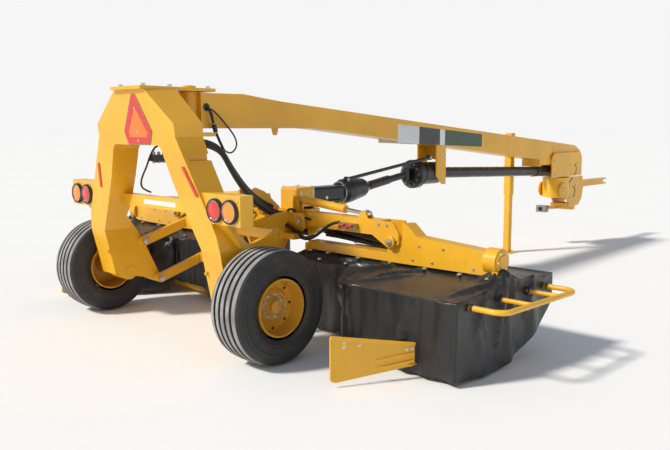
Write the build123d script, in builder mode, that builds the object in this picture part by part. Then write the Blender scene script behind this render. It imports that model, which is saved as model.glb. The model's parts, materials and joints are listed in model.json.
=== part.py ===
from build123d import *
import os
from math import hypot

os.makedirs("parts", exist_ok=True)

# Trailed disc mower with an overhead tongue, in millimetres.
# X points to the machine's right, Y forward along the tongue, Z up from the ground.
# The origin is on the ground in the middle of the parked machine's box.
# Every y below is measured from the wheel axle, and axle_y is where the axle stands.

# Wheels
tyre_radius = 410
tyre_half_width = 160
tread_half_width = 148
wheel_x = 1145
bead_radius = 205
bulge_radius = 300
shoulder_radius = 388
rim_flange_radius = 222
rim_flange_x = 143
rim_barrel_wall = 12
rim_dish_front = 40
rim_dish_back = 28
rim_crown_radius = 112
axle_radius = 30
axle_clearance = 0.1
hub_radius = 66
hub_inner_x = -95
hub_outer_x = 62
hub_flange_radius = 85

# Tow fork at the front, which is the foremost point
tow_pin_y = 7560
tow_fork_radius = 40
tow_pin_bore = 16

axle_y = (tyre_radius - tow_pin_y - tow_fork_radius) / 2

# Rear arch: heights and half widths of its front view
arch_top_z = 1920
arch_top_half = 211
shoulder_z = arch_top_z - 253
shoulder_half = 539
shoulder_foot_z = arch_top_z - 346
arch_split_z = arch_top_z - 457
split_outer = 596
split_inner = 348
opening_top_z = arch_top_z - 410
opening_corner = 60
elbow_z = 1011
elbow_outer = 834
knee_z = 780
knee_outer = 909
knee_inner = 685
foot_z = 395
foot_outer = 880
foot_inner = 676
# Rear arch: side view, back face leaning forward down to the knee
arch_top_back = -371
knee_back = -235
foot_back = -150
arch_head_front = -90

# Gusset and pocket on each leg's outer side
gusset_inner = 850
gusset_outer = 965
gusset_top_y = -235
pocket_low = arch_split_z - 58
pocket_high = arch_split_z - 11
pocket_back = -270
pocket_front = -85
pocket_depth = 22

# Tongue pivot
pivot_y = 170
pivot_pin_radius = 31
pivot_barrel_radius = 85
pivot_clearance = 0.1
pivot_plate_thickness = 25
pivot_plate_front = 320
lower_flange_z = arch_top_z - 320
barrel_end_gap = 2

# Crossbeam between the legs
crossbeam_back = -145
crossbeam_depth = 90
crossbeam_low = 1010
crossbeam_high = 1100

# Rear lamps
lamp_radius = 78
lamp_length = 24
lamp_z = 1077
red_lamp_x = 905
amber_lamp_x = 1068
lamp_box_outer = 1170
lamp_box_low = 980
lamp_box_high = 1190
lamp_box_back = -257
lamp_box_front = -147

# Warning triangle on the arch's back face
triangle_x = 60
triangle_thickness = 4

# Tongue, tapering forward
tongue_half_width = 130
tongue_front_y = 6540
tongue_front_z = 1222
tongue_taper_back = 1640
tongue_taper_front = 5450
tongue_rear_depth = 288
tongue_taper_depth = 308

# Driveline under the tongue
bearing_z = 1140
bearing_radius = 120
bearing_ring_radius = 152
bearing_back = 2950
bearing_front = 3400
shaft_radius = 60
shaft_sleeve_radius = 69
shaft_sleeve_length = 420
front_shaft_y = 5960
front_shaft_z = 1050
rear_shaft_radius = 45
knuckle_y = 2895
knuckle_radius = 45
knuckle_half_height = 45
ear_thickness = 20

# Front gearbox and swivelling hitch head
swivel_y = 6120
cheek_back = 5720
cheek_half_width = 160
cheek_thickness = 16
cheek_low = 975
head_top_z = 960
turret_radius = 175
turret_low = 690
swivel_pin_radius = 45
tow_arm_z = 840
tow_arm_half = 45
pto_stub_radius = 17.4
hook_high = 540
head_front_y = 6660
head_cheek_x = 104
head_cheek_thickness = 16
tow_fork_plate = 22
pto_stub_length = 75
pto_stub_z = 700

# Parking jack on the left side of the tongue
jack_y = cheek_back - 470
jack_tube_half = 45
jack_leg_half = 38
jack_clearance = 0.5
jack_tube_low = 760
jack_tube_high = 1560
jack_leg_high = 1090
jack_foot_half = 110
jack_foot_thickness = 12

# Four-bar lift linkage between the arch and the header carrier
link_x = 620
link_half_width = 20
link_half_depth = 38
link_pin_radius = 16
link_pin_clearance = 0.1
link_eye_radius = 40
link_boss_radius = 30
lower_rear = (250, 320)
upper_rear = (100, 665)
link_reach = (450, 135)
link_end_gap = 3

# Header carrier
carrier_tube_half = 40
carrier_plate_x = 300
carrier_plate_thickness = 25
hinge_plate_back = 965
hinge_plate_front = 1155
hinge_plate_thickness = 20
hinge_plate_low = 700
hinge_plate_high = 920
hinge_plate_half = 480
lug_thickness = 12
lift_base = (0, 1055)
lift_eye = (930, 1040)

# Centre gearbox and its input guard, on the carrier
gearbox_half = 150
gearbox_back = 1180
gearbox_front = 1490
gearbox_low = 720
gearbox_split = 900
gearbox_high = 1100
gearbox_y = 1335
swivel_box_half = 120
input_z = 1015
guard_end = 1900
joint_shield_end = 2280
shield_radius = 120
output_y = 1225
output_z = 750

# Bed arms, hinged on the carrier about fore-and-aft pins
arm_hinge_x = 420
arm_hinge_z = 850
arm_pin_radius = 20
arm_pin_clearance = 0.1
arm_boss_radius = 48
arm_back = 1000
arm_depth = 120
arm_low = 812
arm_high = 930
arm_box_end = 1300
arm_plate_end = 1500
arm_plate_thickness = 20
arm_side_gap = 3
bed_pivot_x = 1430
bed_pivot_z = 780
bed_boss_radius = 42
ram_base = (320, 1030)
ram_eye = (1100, 960)

# Hydraulic cylinders
eye_half_width = 20
eye_radius = 30
eye_pin_radius = 12
open_eye_bore = 20
barrel_radius = 34
rod_radius = 17
gland_clearance = 0.1
barrel_neck = 65

# Mower beds
bed_inner = 450
bed_outer = 2420
recess_x = 1400
bed_back = 450
bed_recess_back = 800
bed_front = 1650
ridge_y = 1000
ridge_z = 620
crease_z = 550
hem_z = 50
cover_front_z = 590
cover_wall = 8
cover_front_hem = 400
recess_hem_z = 130
bed_beam_low = 620.3
bed_beam_high = 690
bed_arm_high = 825
bed_arm_end = bed_outer - 200
bed_hub_x = bed_outer - 120
bed_hub_z = 730
bed_hub_radius = 92
post_half = 22
post_half_depth = 60
inner_post_x = bed_inner + 38
outer_post_x = bed_outer - 80
cutterbar_y = 1050
cutterbar_half = 130
cutterbar_low = 25
cutterbar_high = 85
spindle_y = cutterbar_y + 90
disc_count = 4
disc_pitch = (bed_outer - bed_inner - 170) / disc_count
disc_low = 110
disc_high = 145
disc_plate = 8
knife_half_width = 25
disc_tip_radius = disc_pitch / 2 - 3
disc_radius = disc_tip_radius - 42
disc_spindle_radius = 30
first_disc_x = bed_inner + 65 + disc_pitch / 2

# Bumper tube and swath board at each bed's outer end
bumper_radius = 19
bumper_x = bed_outer + 250
bumper_z = 505
bumper_back = 590
bumper_front = 1530
bumper_bend = 90
bumper_cross_ys = (930, 1290)
end_plate_x = bed_outer - 20
end_plate_thickness = 10
board_thickness = 6
board_arm_low = 95
board_arm_high = 101
board_inner = (bed_outer - 585, -80)
board_outer = (bed_outer - 325, 440)


def spot(x, y, z):
    """A point by its distance ahead of the axle."""
    return Vector(x, axle_y + y, z)


def side_plane(x):
    """A plane across the machine at x, drawn as y from the axle and height."""
    return Plane(origin=(x, axle_y, 0), x_dir=(0, 1, 0), z_dir=(1, 0, 0))


def back_plane(y):
    """A plane at y, drawn as x and height, that faces the rear."""
    return Plane(origin=(0, axle_y + y, 0), x_dir=(1, 0, 0), z_dir=(0, -1, 0))


def level_plane(z):
    """A level plane at z, drawn as x and y from the axle."""
    return Plane(origin=(0, axle_y, z))


def slab(plane, outline, amount, mode=Mode.ADD):
    """A flat piece: a straight-sided outline on a plane, pulled by amount."""
    with BuildSketch(plane) as face:
        with BuildLine():
            Polyline(*outline, close=True)
        make_face()
    extrude(face.sketch, amount=amount, mode=mode)


def disc(plane, centre, radius, amount, mode=Mode.ADD):
    """A round piece: a circle on a plane, pulled by amount."""
    with BuildSketch(plane) as face:
        with Locations(centre):
            Circle(radius)
    extrude(face.sketch, amount=amount, mode=mode)


def block(low, high, mode=Mode.ADD):
    """A block between two corners, given as x, y from the axle, and height."""
    middle = spot(*[(a + b) / 2 for a, b in zip(low, high)])
    with Locations(middle):
        Box(*[abs(b - a) for a, b in zip(low, high)], mode=mode)


def bar(start, end, radius, mode=Mode.ADD):
    """A round bar between two points."""
    along = end - start
    with BuildSketch(Plane(origin=start, z_dir=along)) as section:
        Circle(radius)
    extrude(section.sketch, amount=along.length, mode=mode)


def leg_outer_x(z):
    """Half width of the arch's outer edge between the split and the elbow."""
    share = (arch_split_z - z) / (arch_split_z - elbow_z)
    return split_outer + share * (elbow_outer - split_outer)


def back_face_y(z):
    """Place of the arch's back face, above the knee."""
    return knee_back + (z - knee_z) * (arch_top_back - knee_back) / (arch_top_z - knee_z)


# Rear arch

arch_side = [
    (arch_top_back, arch_top_z),
    (knee_back, knee_z),
    (foot_back, foot_z),
    (lower_rear[0] - 70, lower_rear[1] + 5),
    (lower_rear[0] + 10, lower_rear[1] - 45),
    (lower_rear[0] + 45, lower_rear[1]),
    (lower_rear[0] + 10, lower_rear[1] + 60),
    (115, 690),
    (70, 760),
    (-60, 900),
    (-50, 990),
    (arch_head_front, arch_split_z),
    (arch_head_front, arch_top_z),
]
head_outline = [
    (arch_top_half, arch_top_z),
    (shoulder_half, shoulder_z),
    (shoulder_half, shoulder_foot_z),
    (split_outer, arch_split_z),
    (split_inner, arch_split_z),
    (split_inner - 25, opening_top_z),
    (25 - split_inner, opening_top_z),
    (-split_inner, arch_split_z),
    (-split_outer, arch_split_z),
    (-shoulder_half, shoulder_foot_z),
    (-shoulder_half, shoulder_z),
    (-arch_top_half, arch_top_z),
]
arch_reach = 2 * arch_top_z

with BuildPart() as arch_head:
    slab(back_plane(-arch_reach), head_outline, -2 * arch_reach)
    slab(side_plane(-arch_reach), arch_side, 2 * arch_reach, Mode.INTERSECT)
    edges_along = arch_head.edges().filter_by(Axis.Y)
    inner_corners = edges_along.sort_by(lambda e: abs(e.center().Z - opening_top_z))[:2]
    fillet(inner_corners, opening_corner)
arch_head.part.label = "arch_head"
export_step(arch_head.part, "parts/arch_head.step")

leg_outline = [
    (split_inner, arch_split_z),
    (split_outer, arch_split_z),
    (elbow_outer, elbow_z),
    (885, 896),
    (knee_outer, knee_z),
    (foot_outer, foot_z - 200),
    (foot_inner, foot_z - 200),
    (knee_inner, knee_z),
    (523, 1076),
    (430, 1263),
]

for side, sign in (("right", 1), ("left", -1)):
    with BuildPart() as leg:
        slab(back_plane(-arch_reach), [(sign * x, z) for x, z in leg_outline], -2 * arch_reach)
        slab(side_plane(-arch_reach), arch_side, 2 * arch_reach, Mode.INTERSECT)
        # Stub axle with its flange, and the pins of the two lift links
        axle_root = spot(sign * (foot_inner + 40), 0, tyre_radius)
        bar(axle_root, spot(sign * (wheel_x + 50), 0, tyre_radius), axle_radius)
        bar(axle_root, spot(sign * (knee_outer + 8), 0, tyre_radius), hub_flange_radius)
        for y, z in (lower_rear, upper_rear):
            pin_root = spot(sign * (knee_inner + 10), y, z)
            bar(pin_root, spot(sign * (link_x - link_half_width - 14), y, z), link_pin_radius)
            bar(pin_root, spot(sign * (link_x + link_half_width + link_end_gap), y, z), link_boss_radius)
        # Gusset under the lamp box, and the pocket at the top of the outer side
        slab(
            side_plane(sign * gusset_inner),
            [
                (gusset_top_y, lamp_box_low - 0.3),
                (gusset_top_y + 20, lamp_box_low - 0.3),
                (gusset_top_y + 170, lamp_box_low - 180),
                (gusset_top_y + 150, lamp_box_low - 180),
            ],
            sign * (gusset_outer - gusset_inner),
        )
        block(
            (sign * (leg_outer_x(pocket_high) - pocket_depth), pocket_back, pocket_low),
            (sign * (leg_outer_x(pocket_low) + 20), pocket_front, pocket_high),
            Mode.SUBTRACT,
        )
    leg.part.label = f"{side}_arch_leg"
    export_step(leg.part, f"parts/{side}_arch_leg.step")

with BuildPart() as crossbeam:
    slab(
        back_plane(crossbeam_back),
        [
            (-558.5, crossbeam_low),
            (558.5, crossbeam_low),
            (522.5, 1076),
            (510.5, crossbeam_high),
            (-510.5, crossbeam_high),
            (-522.5, 1076),
        ],
        -crossbeam_depth,
    )
    for x in (-1, 1):
        slab(
            side_plane(x * (eye_half_width + 10) - 6),
            [(-60, crossbeam_low), (30, 1015), (30, 1095), (-60, crossbeam_high)],
            12,
        )
    bar(spot(-36, *lift_base), spot(36, *lift_base), eye_pin_radius)
crossbeam.part.label = "arch_crossbeam"
export_step(crossbeam.part, "parts/arch_crossbeam.step")

with BuildPart() as pivot_plates:
    slab(
        level_plane(arch_top_z),
        [(-arch_top_half, -400), (arch_top_half, -400), (150, pivot_plate_front), (-150, pivot_plate_front)],
        pivot_plate_thickness,
    )
    slab(
        level_plane(lower_flange_z),
        [
            (-shoulder_half, arch_head_front),
            (shoulder_half, arch_head_front),
            (shoulder_half, 25),
            (200, pivot_y + 20),
            (130, pivot_plate_front - 20),
            (-130, pivot_plate_front - 20),
            (-200, pivot_y + 20),
            (-shoulder_half, 25),
        ],
        -pivot_plate_thickness,
    )
    disc(level_plane(lower_flange_z - 60), (0, pivot_y), pivot_pin_radius, arch_top_z - lower_flange_z + 110)
    disc(level_plane(arch_top_z + 20), (0, pivot_y), 55, 22)
pivot_plates.part.label = "pivot_plates"
export_step(pivot_plates.part, "parts/pivot_plates.step")

with BuildPart() as lamp_boxes:
    for sign in (1, -1):
        corners = [
            (leg_outer_x(lamp_box_high) + 0.3, lamp_box_high),
            (lamp_box_outer, lamp_box_high),
            (lamp_box_outer, lamp_box_low),
            (elbow_outer + 15, lamp_box_low),
            (elbow_outer + 1, elbow_z),
        ]
        slab(
            back_plane(lamp_box_back),
            [(sign * x, z) for x, z in corners],
            lamp_box_back - lamp_box_front,
        )
lamp_boxes.part.label = "lamp_boxes"
export_step(lamp_boxes.part, "parts/lamp_boxes.step")

for name, lamp_x in (("red_lamps", red_lamp_x), ("amber_lamps", amber_lamp_x)):
    with BuildPart() as lamps:
        for sign in (1, -1):
            disc(back_plane(lamp_box_back), (sign * lamp_x, lamp_z), lamp_radius, lamp_length)
        fillet(lamps.edges().filter_by(GeomType.CIRCLE).group_by(Axis.Y)[0], 8)
    lamps.part.label = name
    export_step(lamps.part, f"parts/{name}.step")

triangle_outline = [
    (-22, arch_top_z - 35),
    (22, arch_top_z - 35),
    (190, arch_top_z - 308),
    (148, arch_top_z - 405),
    (-148, arch_top_z - 405),
    (-190, arch_top_z - 308),
]
triangle_above = arch_top_z + 80
triangle_below = arch_top_z - 520
with BuildPart() as triangle:
    slab(
        back_plane(-arch_reach),
        [(triangle_x + x, z) for x, z in triangle_outline],
        -2 * arch_reach,
    )
    slab(
        side_plane(-arch_reach),
        [
            (back_face_y(triangle_above), triangle_above),
            (back_face_y(triangle_below), triangle_below),
            (back_face_y(triangle_below) - triangle_thickness, triangle_below),
            (back_face_y(triangle_above) - triangle_thickness, triangle_above),
        ],
        2 * arch_reach,
        Mode.INTERSECT,
    )
triangle.part.label = "warning_triangle"
export_step(triangle.part, "parts/warning_triangle.step")

# Wheels

for side, sign in (("right", 1), ("left", -1)):
    centre = Plane(origin=(sign * wheel_x, axle_y, tyre_radius), x_dir=(sign, 0, 0), z_dir=(0, -1 * sign, 0))
    with BuildPart() as tyre:
        with BuildSketch(centre) as section:
            with BuildLine():
                right_flange = (rim_flange_x, rim_flange_radius)
                left_flange = (-rim_flange_x, rim_flange_radius)
                right_shoulder = (tread_half_width, shoulder_radius)
                left_shoulder = (-tread_half_width, shoulder_radius)
                Line(left_flange, (-rim_flange_x, bead_radius))
                Line((-rim_flange_x, bead_radius), (rim_flange_x, bead_radius))
                Line((rim_flange_x, bead_radius), right_flange)
                ThreePointArc(right_flange, (tyre_half_width, bulge_radius), right_shoulder)
                ThreePointArc(right_shoulder, (0, tyre_radius), left_shoulder)
                ThreePointArc(left_shoulder, (-tyre_half_width, bulge_radius), left_flange)
            make_face()
        revolve(axis=Axis((sign * wheel_x, axle_y, tyre_radius), (1, 0, 0)))
    tyre.part.label = f"{side}_tyre"
    export_step(tyre.part, f"parts/{side}_tyre.step")

    rim_outer = bead_radius - 0.3
    with BuildPart() as rim:
        with BuildSketch(centre) as section:
            with BuildLine():
                Polyline(
                    (-rim_flange_x, rim_outer),
                    (rim_flange_x, rim_outer),
                    (rim_flange_x, rim_outer - rim_barrel_wall),
                    (rim_dish_front, rim_outer - rim_barrel_wall - 14),
                    (rim_dish_front, rim_crown_radius + 23),
                    (hub_outer_x, rim_crown_radius),
                    (hub_outer_x - 20, rim_crown_radius - 17),
                    (hub_outer_x - 20, hub_radius),
                    (hub_outer_x, hub_radius - 10),
                    (hub_outer_x, axle_radius + axle_clearance),
                    (hub_inner_x, axle_radius + axle_clearance),
                    (hub_inner_x, hub_radius),
                    (hub_outer_x - 35, hub_radius + 10),
                    (hub_outer_x - 35, rim_crown_radius - 12),
                    (rim_dish_back, rim_crown_radius + 18),
                    (rim_dish_back, rim_outer - rim_barrel_wall - 14),
                    (-rim_flange_x, rim_outer - rim_barrel_wall),
                    close=True,
                )
            make_face()
        revolve(axis=Axis((sign * wheel_x, axle_y, tyre_radius), (1, 0, 0)))
    rim.part.label = f"{side}_rim"
    export_step(rim.part, f"parts/{side}_rim.step")

# Tongue

tongue_side = [
    (pivot_y + 20, arch_top_z - 10),
    (610, arch_top_z - 8),
    (1020, arch_top_z - 58),
    (5960, 1428),
    (6380, 1390),
    (6530, 1320),
    (tongue_front_y, tongue_front_z),
    (tongue_taper_front, tongue_front_z),
    (tongue_taper_back, arch_top_z - tongue_taper_depth),
    (tongue_taper_back - 240, arch_top_z - tongue_rear_depth),
    (pivot_y + 20, arch_top_z - tongue_rear_depth),
]
with BuildPart() as tongue:
    slab(side_plane(-tongue_half_width), tongue_side, 2 * tongue_half_width)
    disc(
        level_plane(lower_flange_z + barrel_end_gap),
        (0, pivot_y),
        pivot_barrel_radius,
        arch_top_z - lower_flange_z - 2 * barrel_end_gap,
    )
    block(
        (-tongue_half_width - 20, -200, lower_flange_z - 100),
        (tongue_half_width + 20, pivot_y, arch_top_z + 80),
        Mode.SUBTRACT,
    )
    disc(
        level_plane(lower_flange_z + barrel_end_gap),
        (0, pivot_y),
        pivot_barrel_radius,
        arch_top_z - lower_flange_z - 2 * barrel_end_gap,
    )
    disc(
        level_plane(lower_flange_z - 100),
        (0, pivot_y),
        pivot_pin_radius + pivot_clearance,
        arch_top_z - lower_flange_z + 200,
        Mode.SUBTRACT,
    )
    # Small hanger for the hoses under the rear end
    slab(
        side_plane(-8),
        [
            (1030, arch_top_z - tongue_rear_depth + 1),
            (1100, arch_top_z - tongue_rear_depth + 1),
            (1085, arch_top_z - tongue_rear_depth - 62),
            (1050, arch_top_z - tongue_rear_depth - 62),
        ],
        16,
    )
tongue.part.label = "tongue_beam"
export_step(tongue.part, "parts/tongue_beam.step")


def tongue_bottom_z(y):
    """Height of the tongue's underside along its long taper."""
    taper_top_z = arch_top_z - tongue_taper_depth
    share = (y - tongue_taper_back) / (tongue_taper_front - tongue_taper_back)
    return taper_top_z + share * (tongue_front_z - taper_top_z)


bracket_back = bearing_front - 150
bracket_front = bearing_front + 20
with BuildPart() as bearing_bracket:
    for x in (-bearing_radius - 15, bearing_radius + 0.3):
        slab(
            side_plane(x),
            [
                (bracket_back, tongue_bottom_z(bracket_back)),
                (bracket_front, tongue_bottom_z(bracket_front)),
                (bracket_front, 1020),
                (bracket_front - 60, 1020),
                (bracket_back, bearing_z - 20),
            ],
            14.7,
        )
    slab(
        side_plane(-bearing_radius - 15),
        [
            (bracket_front, tongue_bottom_z(bracket_front)),
            (bracket_front, bearing_z + bearing_radius + 25),
            (bracket_front - 14, bearing_z + bearing_radius + 25),
            (bracket_front - 14, tongue_bottom_z(bracket_front - 14)),
        ],
        2 * bearing_radius + 30,
    )
bearing_bracket.part.label = "bearing_bracket"
export_step(bearing_bracket.part, "parts/bearing_bracket.step")

bearing_section = [
    (bearing_back, 0),
    (bearing_back, 90),
    (bearing_back + 15, bearing_ring_radius - 25),
    (bearing_back + 40, bearing_ring_radius),
    (bearing_back + 110, bearing_ring_radius),
    (bearing_back + 130, bearing_radius),
    (bearing_front, bearing_radius),
    (bearing_front, shaft_radius + 12),
    (bearing_front + 60, shaft_radius + 6),
    (bearing_front + 60, 0),
]
with BuildPart() as bearing:
    with BuildSketch(Plane(origin=spot(0, 0, bearing_z), x_dir=(0, 1, 0), z_dir=(1, 0, 0))) as section:
        with BuildLine():
            Polyline(*bearing_section, close=True)
        make_face()
    revolve(axis=Axis(spot(0, 0, bearing_z), (0, 1, 0)))
    for z in (bearing_z + knuckle_half_height + 0.3, bearing_z - knuckle_half_height - 0.3 - ear_thickness):
        disc(level_plane(z), (0, knuckle_y), knuckle_radius - 5, ear_thickness)
        block((-30, knuckle_y, z), (30, bearing_back + 40, z + ear_thickness))
bearing.part.label = "driveline_bearing"
export_step(bearing.part, "parts/driveline_bearing.step")

front_shaft_start = spot(0, bearing_front + 64, bearing_z - 2)
front_shaft_end = spot(0, front_shaft_y, front_shaft_z)
front_shaft_way = (front_shaft_end - front_shaft_start).normalized()
with BuildPart() as front_shaft:
    bar(front_shaft_start, front_shaft_end, shaft_radius)
    bar(front_shaft_end - front_shaft_way * shaft_sleeve_length, front_shaft_end, shaft_sleeve_radius)
    # Seats in the bearing and in the front gearbox
    rear_seat = spot(0, bearing_front + 60, bearing_z - 2)
    bar(rear_seat, rear_seat + Vector(0, 20, 0), shaft_radius - 18)
    front_seat = spot(0, front_shaft_y + 12, front_shaft_z)
    bar(front_seat - Vector(0, 22, 0), front_seat, shaft_radius - 12)
front_shaft.part.label = "front_driveshaft"
export_step(front_shaft.part, "parts/front_driveshaft.step")

with BuildPart() as rear_shaft:
    disc(
        level_plane(bearing_z - knuckle_half_height),
        (0, knuckle_y),
        knuckle_radius,
        2 * knuckle_half_height,
    )
    shaft_mouth = spot(0, joint_shield_end + 20, input_z + 38)
    bar(spot(0, knuckle_y, bearing_z), shaft_mouth, rear_shaft_radius - 9)
    bar(spot(0, joint_shield_end + 330, input_z + 86), shaft_mouth, rear_shaft_radius)
rear_shaft.part.label = "rear_driveshaft"
export_step(rear_shaft.part, "parts/rear_driveshaft.step")

# Front gearbox, held between cheek plates under the tongue's end
gearbox_top_z = tongue_front_z - 0.3
with BuildPart() as front_gearbox:
    for x in (-cheek_half_width, cheek_half_width - cheek_thickness):
        slab(
            side_plane(x),
            [
                (cheek_back, 1250),
                (cheek_back + 60, 1300),
                (tongue_front_y - 40, 1300),
                (tongue_front_y, tongue_front_z - 2),
                (tongue_front_y, cheek_low),
                (cheek_back, cheek_low),
            ],
            cheek_thickness,
        )
    block(
        (-cheek_half_width + cheek_thickness, front_shaft_end.Y - axle_y + 12, cheek_low),
        (cheek_half_width - cheek_thickness, tongue_front_y - 60, gearbox_top_z),
    )
    block((-tongue_half_width, cheek_back - 270, 1130), (tongue_half_width, cheek_back - 240, gearbox_top_z))
    for x in (-tongue_half_width, tongue_half_width - cheek_thickness):
        block((x, cheek_back - 270, 1150), (x + cheek_thickness, cheek_back + 20, gearbox_top_z))
    block((-cheek_half_width, cheek_back, 1150), (cheek_half_width, cheek_back + 20, gearbox_top_z))
    disc(level_plane(cheek_low), (0, swivel_y), swivel_pin_radius, -150)
    block(
        (-tongue_half_width - 0.3, cheek_back + 40, 1150),
        (tongue_half_width + 0.3, tongue_front_y + 40, 1400),
        Mode.SUBTRACT,
    )
    block(
        (-cheek_half_width + cheek_thickness, front_shaft_end.Y - axle_y + 12, 1140),
        (cheek_half_width - cheek_thickness, tongue_front_y - 60, gearbox_top_z),
    )
front_gearbox.part.label = "front_gearbox"
export_step(front_gearbox.part, "parts/front_gearbox.step")

with BuildPart() as hitch_head:
    disc(level_plane(turret_low), (0, swivel_y), turret_radius, head_top_z - turret_low)
    for x in (-head_cheek_x - head_cheek_thickness, head_cheek_x):
        slab(
            side_plane(x),
            [
                (swivel_y, head_top_z),
                (head_front_y, head_top_z),
                (head_front_y + 30, 800),
                (head_front_y - 10, 640),
                (head_front_y - 100, 560),
                (6330, 540),
                (6230, 660),
                (swivel_y, turret_low),
            ],
            head_cheek_thickness,
        )
    block(
        (-head_cheek_x, head_front_y - 100, pto_stub_z - 60),
        (head_cheek_x, head_front_y, head_top_z - 20),
    )
    block((-head_cheek_x, swivel_y + 80, 560), (head_cheek_x, swivel_y + 300, 600))
    # Input stub for the tractor's shaft
    bar(
        spot(0, head_front_y - 20, pto_stub_z),
        spot(0, head_front_y + pto_stub_length, pto_stub_z),
        pto_stub_radius,
    )
    # Side arm that carries the hook block
    block((-120, 6380, hook_high - 40), (120, 6460, 555))
    slab(
        level_plane(hook_high - 40),
        [(-100, 6460), (-100, 6360), (-150, 6232), (-260, 6232), (-200, 6400)],
        40,
    )
    disc(
        level_plane(turret_low - 10),
        (0, swivel_y),
        swivel_pin_radius + pivot_clearance,
        400,
        Mode.SUBTRACT,
    )
hitch_head.part.label = "hitch_head"
export_step(hitch_head.part, "parts/hitch_head.step")

with BuildPart() as tow_arm:
    block((-80, head_front_y + 0.3, tow_arm_z - 75), (80, head_front_y + 20, tow_arm_z + 75))
    block(
        (-tow_arm_half, head_front_y + 10, tow_arm_z - tow_arm_half),
        (tow_arm_half, tow_pin_y - 90, tow_arm_z + tow_arm_half),
    )
    for z in (tow_arm_z - tow_arm_half, tow_arm_z + tow_arm_half - tow_fork_plate):
        block((-tow_fork_radius, tow_pin_y - 120, z), (tow_fork_radius, tow_pin_y, z + tow_fork_plate))
        disc(level_plane(z), (0, tow_pin_y), tow_fork_radius, tow_fork_plate)
    disc(level_plane(tow_arm_z - 60), (0, tow_pin_y), tow_pin_bore, 120, Mode.SUBTRACT)
tow_arm.part.label = "tow_arm"
export_step(tow_arm.part, "parts/tow_arm.step")

with BuildPart() as hook_block:
    block((-290, 6131, hook_high - 80), (-150, 6231.7, hook_high + 10))
    block((-250, 6100, hook_high - 60), (-190, 6190, hook_high - 10), Mode.SUBTRACT)
hook_block.part.label = "hook_block"
export_step(hook_block.part, "parts/hook_block.step")

# Parking jack
jack_x = -tongue_half_width - jack_tube_half - 20
with BuildPart() as jack_tube:
    block(
        (jack_x - jack_tube_half, jack_y - jack_tube_half, jack_tube_low),
        (jack_x + jack_tube_half, jack_y + jack_tube_half, jack_tube_high),
    )
    block((jack_x, jack_y - 80, 1270), (-tongue_half_width, jack_y + 80, 1450))
    inner = jack_leg_half + jack_clearance
    block(
        (jack_x - inner, jack_y - inner, jack_tube_low - 1),
        (jack_x + inner, jack_y + inner, jack_tube_high - 8),
        Mode.SUBTRACT,
    )
jack_tube.part.label = "jack_tube"
export_step(jack_tube.part, "parts/jack_tube.step")

with BuildPart() as jack_leg:
    block(
        (jack_x - jack_leg_half, jack_y - jack_leg_half, 0),
        (jack_x + jack_leg_half, jack_y + jack_leg_half, jack_leg_high),
    )
    block(
        (jack_x - jack_foot_half, jack_y - jack_foot_half, 0),
        (jack_x + jack_foot_half, jack_y + jack_foot_half, jack_foot_thickness),
    )
jack_leg.part.label = "jack_leg"
export_step(jack_leg.part, "parts/jack_leg.step")

# Lift linkage


def link_eye(x, y, z):
    """A link's eye round a cross pin, with its running clearance."""
    disc(side_plane(x - link_half_width), (y, z), link_eye_radius, 2 * link_half_width)


for name, (rear_y, rear_z) in (("lower_links", lower_rear), ("upper_links", upper_rear)):
    front_y = rear_y + link_reach[0]
    front_z = rear_z + link_reach[1]
    with BuildPart() as links:
        for x in (-link_x, link_x):
            run = hypot(*link_reach)
            across = (-link_reach[1] / run * link_half_depth, link_reach[0] / run * link_half_depth)
            slab(
                side_plane(x - link_half_width),
                [
                    (rear_y + across[0], rear_z + across[1]),
                    (front_y + across[0], front_z + across[1]),
                    (front_y - across[0], front_z - across[1]),
                    (rear_y - across[0], rear_z - across[1]),
                ],
                2 * link_half_width,
            )
            for y, z in ((rear_y, rear_z), (front_y, front_z)):
                link_eye(x, y, z)
        for y, z in ((rear_y, rear_z), (front_y, front_z)):
            bar(
                spot(-link_x - 60, y, z),
                spot(link_x + 60, y, z),
                link_pin_radius + link_pin_clearance,
                Mode.SUBTRACT,
            )
    links.part.label = name
    export_step(links.part, f"parts/{name}.step")

# Header carrier

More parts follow.
